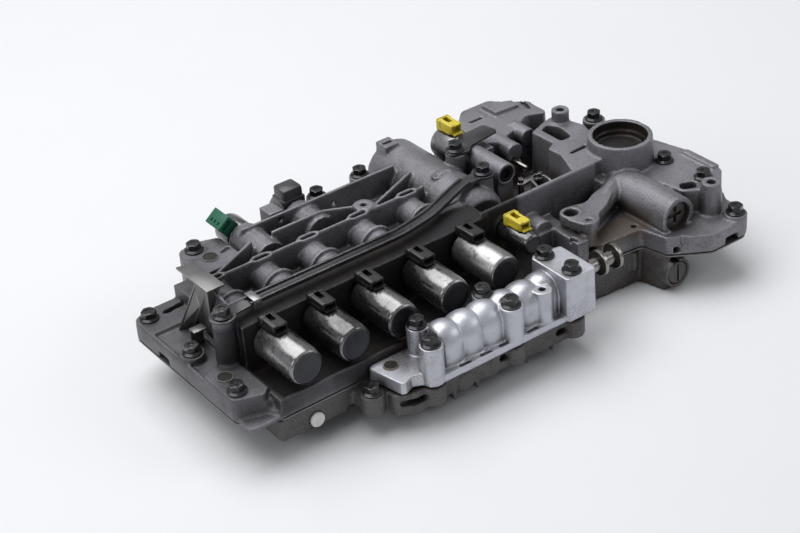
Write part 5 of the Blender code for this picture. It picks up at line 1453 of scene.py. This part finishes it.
@dataclass
class Can:
    """A drawn steel solenoid can with its end cap."""

    node: str
    flip: bool = False
    cap_depth: float = 2.2

    def build(self) -> None:
        """Model the shell and its dark end cap."""
        span = Span.of(self.node)
        radius = (span.high.x - span.low.x) / 2
        centre = (span.middle.x, 0, span.middle.z)
        front = span.high.y if self.flip else span.low.y
        way = -1.0 if self.flip else 1.0
        nose_end = span.low.y if self.flip else span.high.y
        nose = self.nose_radius()
        back = self.shoulder(radius)
        shell = [
            (nose_end, 0.0), (nose_end, nose - 0.8), (nose_end - way * 0.8, nose), (back, nose),
            (back, radius - 1.4), (back - way * 0.9, radius - 0.3), (back - way * 1.6, radius),
            (front + way * 5.2, radius), (front + way * 4.8, radius - 0.2), (front + way * 3.2, radius - 0.3),
            (front + way * 1.6, radius - 0.7), (front + way * 0.7, radius - 1.4),
            (front + way * 0.4, radius - 2.0), (front + way * self.cap_depth, radius - 2.1),
            (front + way * self.cap_depth, 0.0),
        ]
        item = Bench.spun(f"{self.node}_shell", centre, Axis.Y, shell, 72)
        Bench.smooth(item, 30.0)
        Piece(item, CAN_STEEL, "can_steel", (self.node,)).place()
        cap = [
            (front + way * (self.cap_depth - 0.05), 0.0),
            (front + way * (self.cap_depth - 0.05), radius - 2.15),
            (front + way * 0.7, radius - 2.15), (front + way * 0.3, radius - 2.6),
            (front + way * 0.3, radius * 0.62),
            (front + way * 0.55, radius * 0.58), (front + way * 0.55, 0.0),
        ]
        disc = Bench.spun(f"{self.node}_cap", centre, Axis.Y, cap, 72)
        Bench.smooth(disc, 30.0)
        Piece(disc, CAP_BLACK, "can_steel").place()

    def rings(self) -> list[tuple[float, float]]:
        """Return the frame can's rings as pairs of distance and radius."""
        span = Span.of(self.node)
        found: dict[float, float] = {}
        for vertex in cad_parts[self.node].data.vertices:
            point = vertex.co / MM
            reach = math.hypot(point.x - span.middle.x, point.z - span.middle.z)
            key = round(point.y, 1)
            found[key] = max(found.get(key, 0.0), reach)
        return sorted(found.items())

    def nose_radius(self) -> float:
        """Return the radius of the nose in its bore."""
        rings = self.rings()
        return rings[0][1] if self.flip else rings[-1][1]

    def shoulder(self, radius: float) -> float:
        """Return where the can steps down to its nose.

        Args:
            radius: radius of the can.

        Returns:
            The distance along Y.
        """
        wide = [distance for distance, reach in self.rings() if reach > radius - 0.2]
        return min(wide) if self.flip else max(wide)


@dataclass
class PlainNode:
    """A frame node whose shape stays, with soft edges and its own finish."""

    node: str
    finish: Finish
    slot: str
    edge: float = 0.4
    body: Body = Body.HOUSING
    segments: int = 2

    def build(self) -> None:
        """Copy the node, round its edges and dress it."""
        item = Bench.copy_node(self.node, f"{self.node}_dressed")
        Bench.apply(item, "DECIMATE", decimate_type="DISSOLVE", angle_limit=math.radians(1.0))
        Bench.bevel(item, self.edge, self.segments, 40.0)
        Bench.smooth(item, 35.0)
        Piece(item, self.finish, self.slot, (self.node,), self.body).place()


@dataclass
class ManualValve:
    """The spool of the manual valve with its two discs."""

    node: str = "manual_valve"
    land: float = 7.95
    neck: float = 5.4
    disc: float = 10.0

    def build(self) -> None:
        """Model the spool along its bore."""
        span = Span.of(self.node)
        y, z = span.middle.y, span.middle.z
        start = span.low.x
        profile: Profile = [(start, 0.0), (start, self.land - 0.6), (start + 0.6, self.land)]
        for first, last in ((-34, -20), (14, 30)):
            profile += [(first, self.land), (first, self.neck), (last, self.neck), (last, self.land)]
        profile += [(56.4, self.land), (57, self.land - 0.6), (57, self.neck)]
        for x in (79.0, 93.0):
            profile += [
                (x - 1.5, self.neck), (x - 1.5, self.disc - 0.5), (x - 1.1, self.disc),
                (x + 1.1, self.disc), (x + 1.5, self.disc - 0.5), (x + 1.5, self.neck - 0.4),
            ]
        profile[-1] = (94.5, 0.0)
        item = Bench.spun("manual_spool_dressed", (0, y, z), Axis.X, profile, 64)
        slot = Bench.box("slot", (61, y - 1.6, z + 2.4), (69, y + 1.6, z + 8))
        Bench.combine(item, [slot], "DIFFERENCE")
        Bench.smooth(item, 30.0)
        piece = Piece(item, VALVE_STEEL, "valve_steel", (self.node,), Body.MANUAL)
        piece.place()
        piece.accent(DISC_STEEL, lambda centre, normal: centre.x > 76.0 and abs(normal.x) > 0.9)


@dataclass
class RoundPad:
    """Plain round pad with a raised rim on a casting."""

    name: str
    place: Point
    radius: float = 6.2
    finish: Finish = CAST_STAIN
    rim: float = 0.9
    rise: float = 0.8
    sink: float = 0.2

    def build(self) -> None:
        """Model the pad on the casting's face."""
        inner = self.radius - self.rim
        pad = Bench.spun(self.name, self.place, Axis.Z, [
            (-0.8, 0.0), (-0.8, self.radius), (self.rise * 0.6, self.radius), (self.rise, self.radius - 0.2),
            (self.rise, inner + 0.15), (self.sink, inner - 0.15), (self.sink, self.radius * 0.3),
            (self.sink + 0.1, 0.0),
        ], 64)
        Bench.smooth(pad, 40.0)
        piece = Piece(pad, self.finish, "cast_grey")
        piece.place()
        middle = Vector(self.place)
        piece.accent(PAD_SOIL, lambda centre, normal: (centre - middle).xy.length < inner)


@dataclass
class TroughPieces:
    """Small steel pieces that lie in the open trough."""

    floor: float = 37.3

    def rod(self, name: str, start: Point, end: Point, radius: float) -> bpy.types.Object:
        """Model a pin with rounded ends between two points.

        Args:
            name: name of the pin.
            start: one end.
            end: the other end.
            radius: its radius.

        Returns:
            The pin.
        """
        span = Vector(end) - Vector(start)
        length = span.length
        item = Bench.spun(name, (0, 0, 0), Axis.Z, [
            (0.0, 0.0), (0.0, radius - 0.4), (0.4, radius), (length - 0.4, radius),
            (length, radius - 0.4), (length, 0.0),
        ], 32)
        turn = Vector((0, 0, 1)).rotation_difference(span).to_matrix().to_4x4()
        item.data.transform(Matrix.Translation(Vector(start) * MM) @ turn)
        Bench.smooth(item, 35.0)
        return item

    def build(self) -> None:
        """Model the leaning pin, the lever and its lugs."""
        leaning = self.rod("trough_pin", (124.5, 43.0, 50.0), (122.5, 54.0, 66.5), 1.2)
        Piece(leaning, BRIGHT_STEEL, "valve_steel").place()
        lever = Bench.slab("trough_lever", [
            (100, 22), (104, 19), (112, 20), (121, 16), (125, 19), (124, 24), (114, 26), (104, 27),
        ], 55.0, 57.2)
        Bench.bevel(lever, 0.5, 2)
        Bench.smooth(lever)
        Piece(lever, BRIGHT_STEEL, "spring_steel").place()
        for index, (x, y) in enumerate(((104.0, 23.0), (121.0, 20.0))):
            stud = self.rod(f"trough_stud_{index}", (x, y, self.floor), (x, y, 60.5), 2.3)
            Piece(stud, VALVE_STEEL, "valve_steel").place()


@dataclass
class Studio:
    """Pale floor, soft light and the camera at the photograph's angle."""

    lens: float = 81.0
    camera_place: Point = (-0.64609939, -0.92044493, 0.76052705)
    heading: float = math.radians(33.8)
    pitch: float = math.radians(32.7)
    roll: float = math.radians(-4.9)
    floor_colour: Colour = (0.84, 0.85, 0.872)
    floor_size: float = 8.0
    seen_white: float = 0.93
    mirrored: float = 0.3
    fill: float = 0.25

    def build(self) -> None:
        """Set up the whole studio."""
        self.floor()
        self.lamps()
        self.world()
        self.camera()
        bpy.context.scene.view_settings.view_transform = "Standard"

    def floor(self) -> None:
        """Lay the pale floor."""
        bpy.ops.object.select_all(action="DESELECT")
        bpy.ops.mesh.primitive_plane_add(size=self.floor_size, location=(0, 0, -0.0004))
        plane = bpy.context.active_object
        plane.name = "floor"
        made = bpy.data.materials.new("pale_floor")
        made.use_nodes = True
        sheet = Sheet(made.node_tree)
        shader = made.node_tree.nodes["Principled BSDF"]
        place = sheet.node("ShaderNodeTexCoord")
        noise = sheet.node("ShaderNodeTexNoise", Scale=6.0, Detail=4.0)
        sheet.join(place.outputs["Object"], noise.inputs["Vector"])
        darker = tuple(value * 0.97 for value in self.floor_colour)
        sheet.join(sheet.mix(noise.outputs["Fac"], self.floor_colour, darker), shader.inputs["Base Color"])
        shader.inputs["Roughness"].default_value = 0.55
        plane.data.materials.append(made)

    def lamps(self) -> None:
        """Hang the soft lamps."""
        lamps = (
            ("overhead", (-0.2, 0.7, 1.9), (0.0, 0.0, 0.0), 2.4, 1.7, 42.0),
            ("left", (-2.0, -0.1, 1.1), (0.0, 0.0, 0.05), 1.0, 0.8, 6.0),
            ("right", (1.7, -1.2, 1.4), (0.0, 0.0, 0.05), 1.2, 0.9, 8.0),
        )
        for name, place, target, width, depth, power in lamps:
            light = bpy.data.lights.new(name, "AREA")
            light.shape = "RECTANGLE"
            light.size = width
            light.size_y = depth
            light.energy = power
            item = bpy.data.objects.new(name, light)
            item.location = place
            aim = Vector(target) - Vector(place)
            item.rotation_euler = aim.to_track_quat("-Z", "Y").to_euler()
            bpy.context.scene.collection.objects.link(item)

    def world(self) -> None:
        """Make the pale surround: white where the camera sees it, softer as light."""
        world = bpy.data.worlds.new("studio")
        bpy.context.scene.world = world
        world.use_nodes = True
        sheet = Sheet(world.node_tree)
        back = world.node_tree.nodes["Background"]
        path = sheet.node("ShaderNodeLightPath")
        glossy = sheet.maths("MULTIPLY", path.outputs["Is Glossy Ray"], self.mirrored)
        seen = sheet.maths("MAXIMUM", path.outputs["Is Camera Ray"], glossy)
        seen = sheet.maths("MAXIMUM", seen, path.outputs["Is Transmission Ray"])
        strength = sheet.maths("MULTIPLY", seen, self.seen_white - self.fill)
        strength = sheet.maths("ADD", strength, self.fill)
        back.inputs["Color"].default_value = (0.96, 0.975, 1.0, 1.0)
        sheet.join(strength, back.inputs["Strength"])

    def camera(self) -> None:
        """Place the camera at the photograph's angle."""
        data = bpy.data.cameras.new("camera")
        data.lens = self.lens
        data.sensor_width = 36.0
        data.clip_start = 0.05
        data.clip_end = 50.0
        item = bpy.data.objects.new("camera", data)
        bpy.context.scene.collection.objects.link(item)
        bpy.context.scene.camera = item
        turn, dip, roll = self.heading, self.pitch, self.roll
        ahead = Vector((math.sin(turn) * math.cos(dip), math.cos(turn) * math.cos(dip), -math.sin(dip)))
        right = Vector((math.cos(turn), -math.sin(turn), 0.0))
        up = right.cross(ahead)
        rolled_right = right * math.cos(roll) + up * math.sin(roll)
        rolled_up = up * math.cos(roll) - right * math.sin(roll)
        basis = Matrix((rolled_right, rolled_up, -ahead)).transposed().to_4x4()
        item.matrix_world = Matrix.Translation(Vector(self.camera_place)) @ basis


def main() -> None:
    """Build the studio and every piece."""
    logging.basicConfig(level=logging.INFO, format="%(message)s")
    Studio().build()
    UpperCasting().build()
    LowerCasting().build()
    ManualCasting().build()
    for number in range(1, 6):
        Can(f"linear_solenoid_{number}").build()
        Connector(f"connector_{number}", f"linear_solenoid_{number}", BLACK_PLASTIC, "black_plastic").build()
    Can("lockup_solenoid").build()
    Connector("lockup_connector", "lockup_solenoid", YELLOW_PLASTIC, "yellow_plastic").build()
    for letter in "abc":
        Can(f"shift_solenoid_{letter}", flip=True).build()
    Connector("shift_connector_a", "shift_solenoid_a", YELLOW_PLASTIC, "yellow_plastic").build()
    Connector(
        "shift_connector_b", "shift_solenoid_b", GREEN_PLASTIC, "green_plastic", Plug.BOXED, lean=38.0,
    ).build()
    Connector("shift_connector_c", "shift_solenoid_c", CUBE_PLASTIC, "black_plastic", Plug.CUBE).build()
    FlangeBolt().build()
    ManualValve().build()
    RoundPad("front_pad", (-199.8, -31.0, 50.0)).build()
    RoundPad("rear_pad", (-139.5, 83.5, 66.0), 6.4).build()
    RoundPad("ear_pad", (-101.2, -85.1, 40.8), 5.6, TAN_STAIN).build()
    TroughPieces().build()
    plain = (
        ("retainer_bar", BAR_BLACK, "black_steel", 0.4), ("bar_clip", BRIGHT_STEEL, "spring_steel", 0.2),
        ("solenoid_clamp", BAR_BLACK, "black_steel", 0.4),
        ("harness_bracket", SHEET_STEEL, "plate_steel", 0.3),
        ("locating_tab", SHEET_STEEL, "spring_steel", 0.3),
        ("separator_plate", SHEET_STEEL, "plate_steel", 0.1),
        ("spring_clip", BRIGHT_STEEL, "spring_steel", 0.3), ("stop_pin", VALVE_STEEL, "valve_steel", 0.3),
        ("pressure_regulator_plug", DARK_CASTING, "cast_dark", 0.5),
        ("lower_bore_plug", DARK_CASTING, "cast_dark", 0.5),
        ("modulator_plug", BOLT_BLACK, "black_steel", 0.3),
        ("port_plug", WHITE_PLASTIC, "white_plastic", 0.5),
    )
    for node, finish, slot, edge in plain:
        PlainNode(node, finish, slot, edge).build()
    hidden = (
        ("pressure_regulator_valve", VALVE_STEEL), ("modulator_valve", VALVE_STEEL),
        ("pressure_regulator_spring", BRIGHT_STEEL), ("modulator_spring", BRIGHT_STEEL),
    )
    for node, finish in hidden:
        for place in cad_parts[node].material_slots:
            place.material = finish.material()


if __name__ == "__main__":
    main()
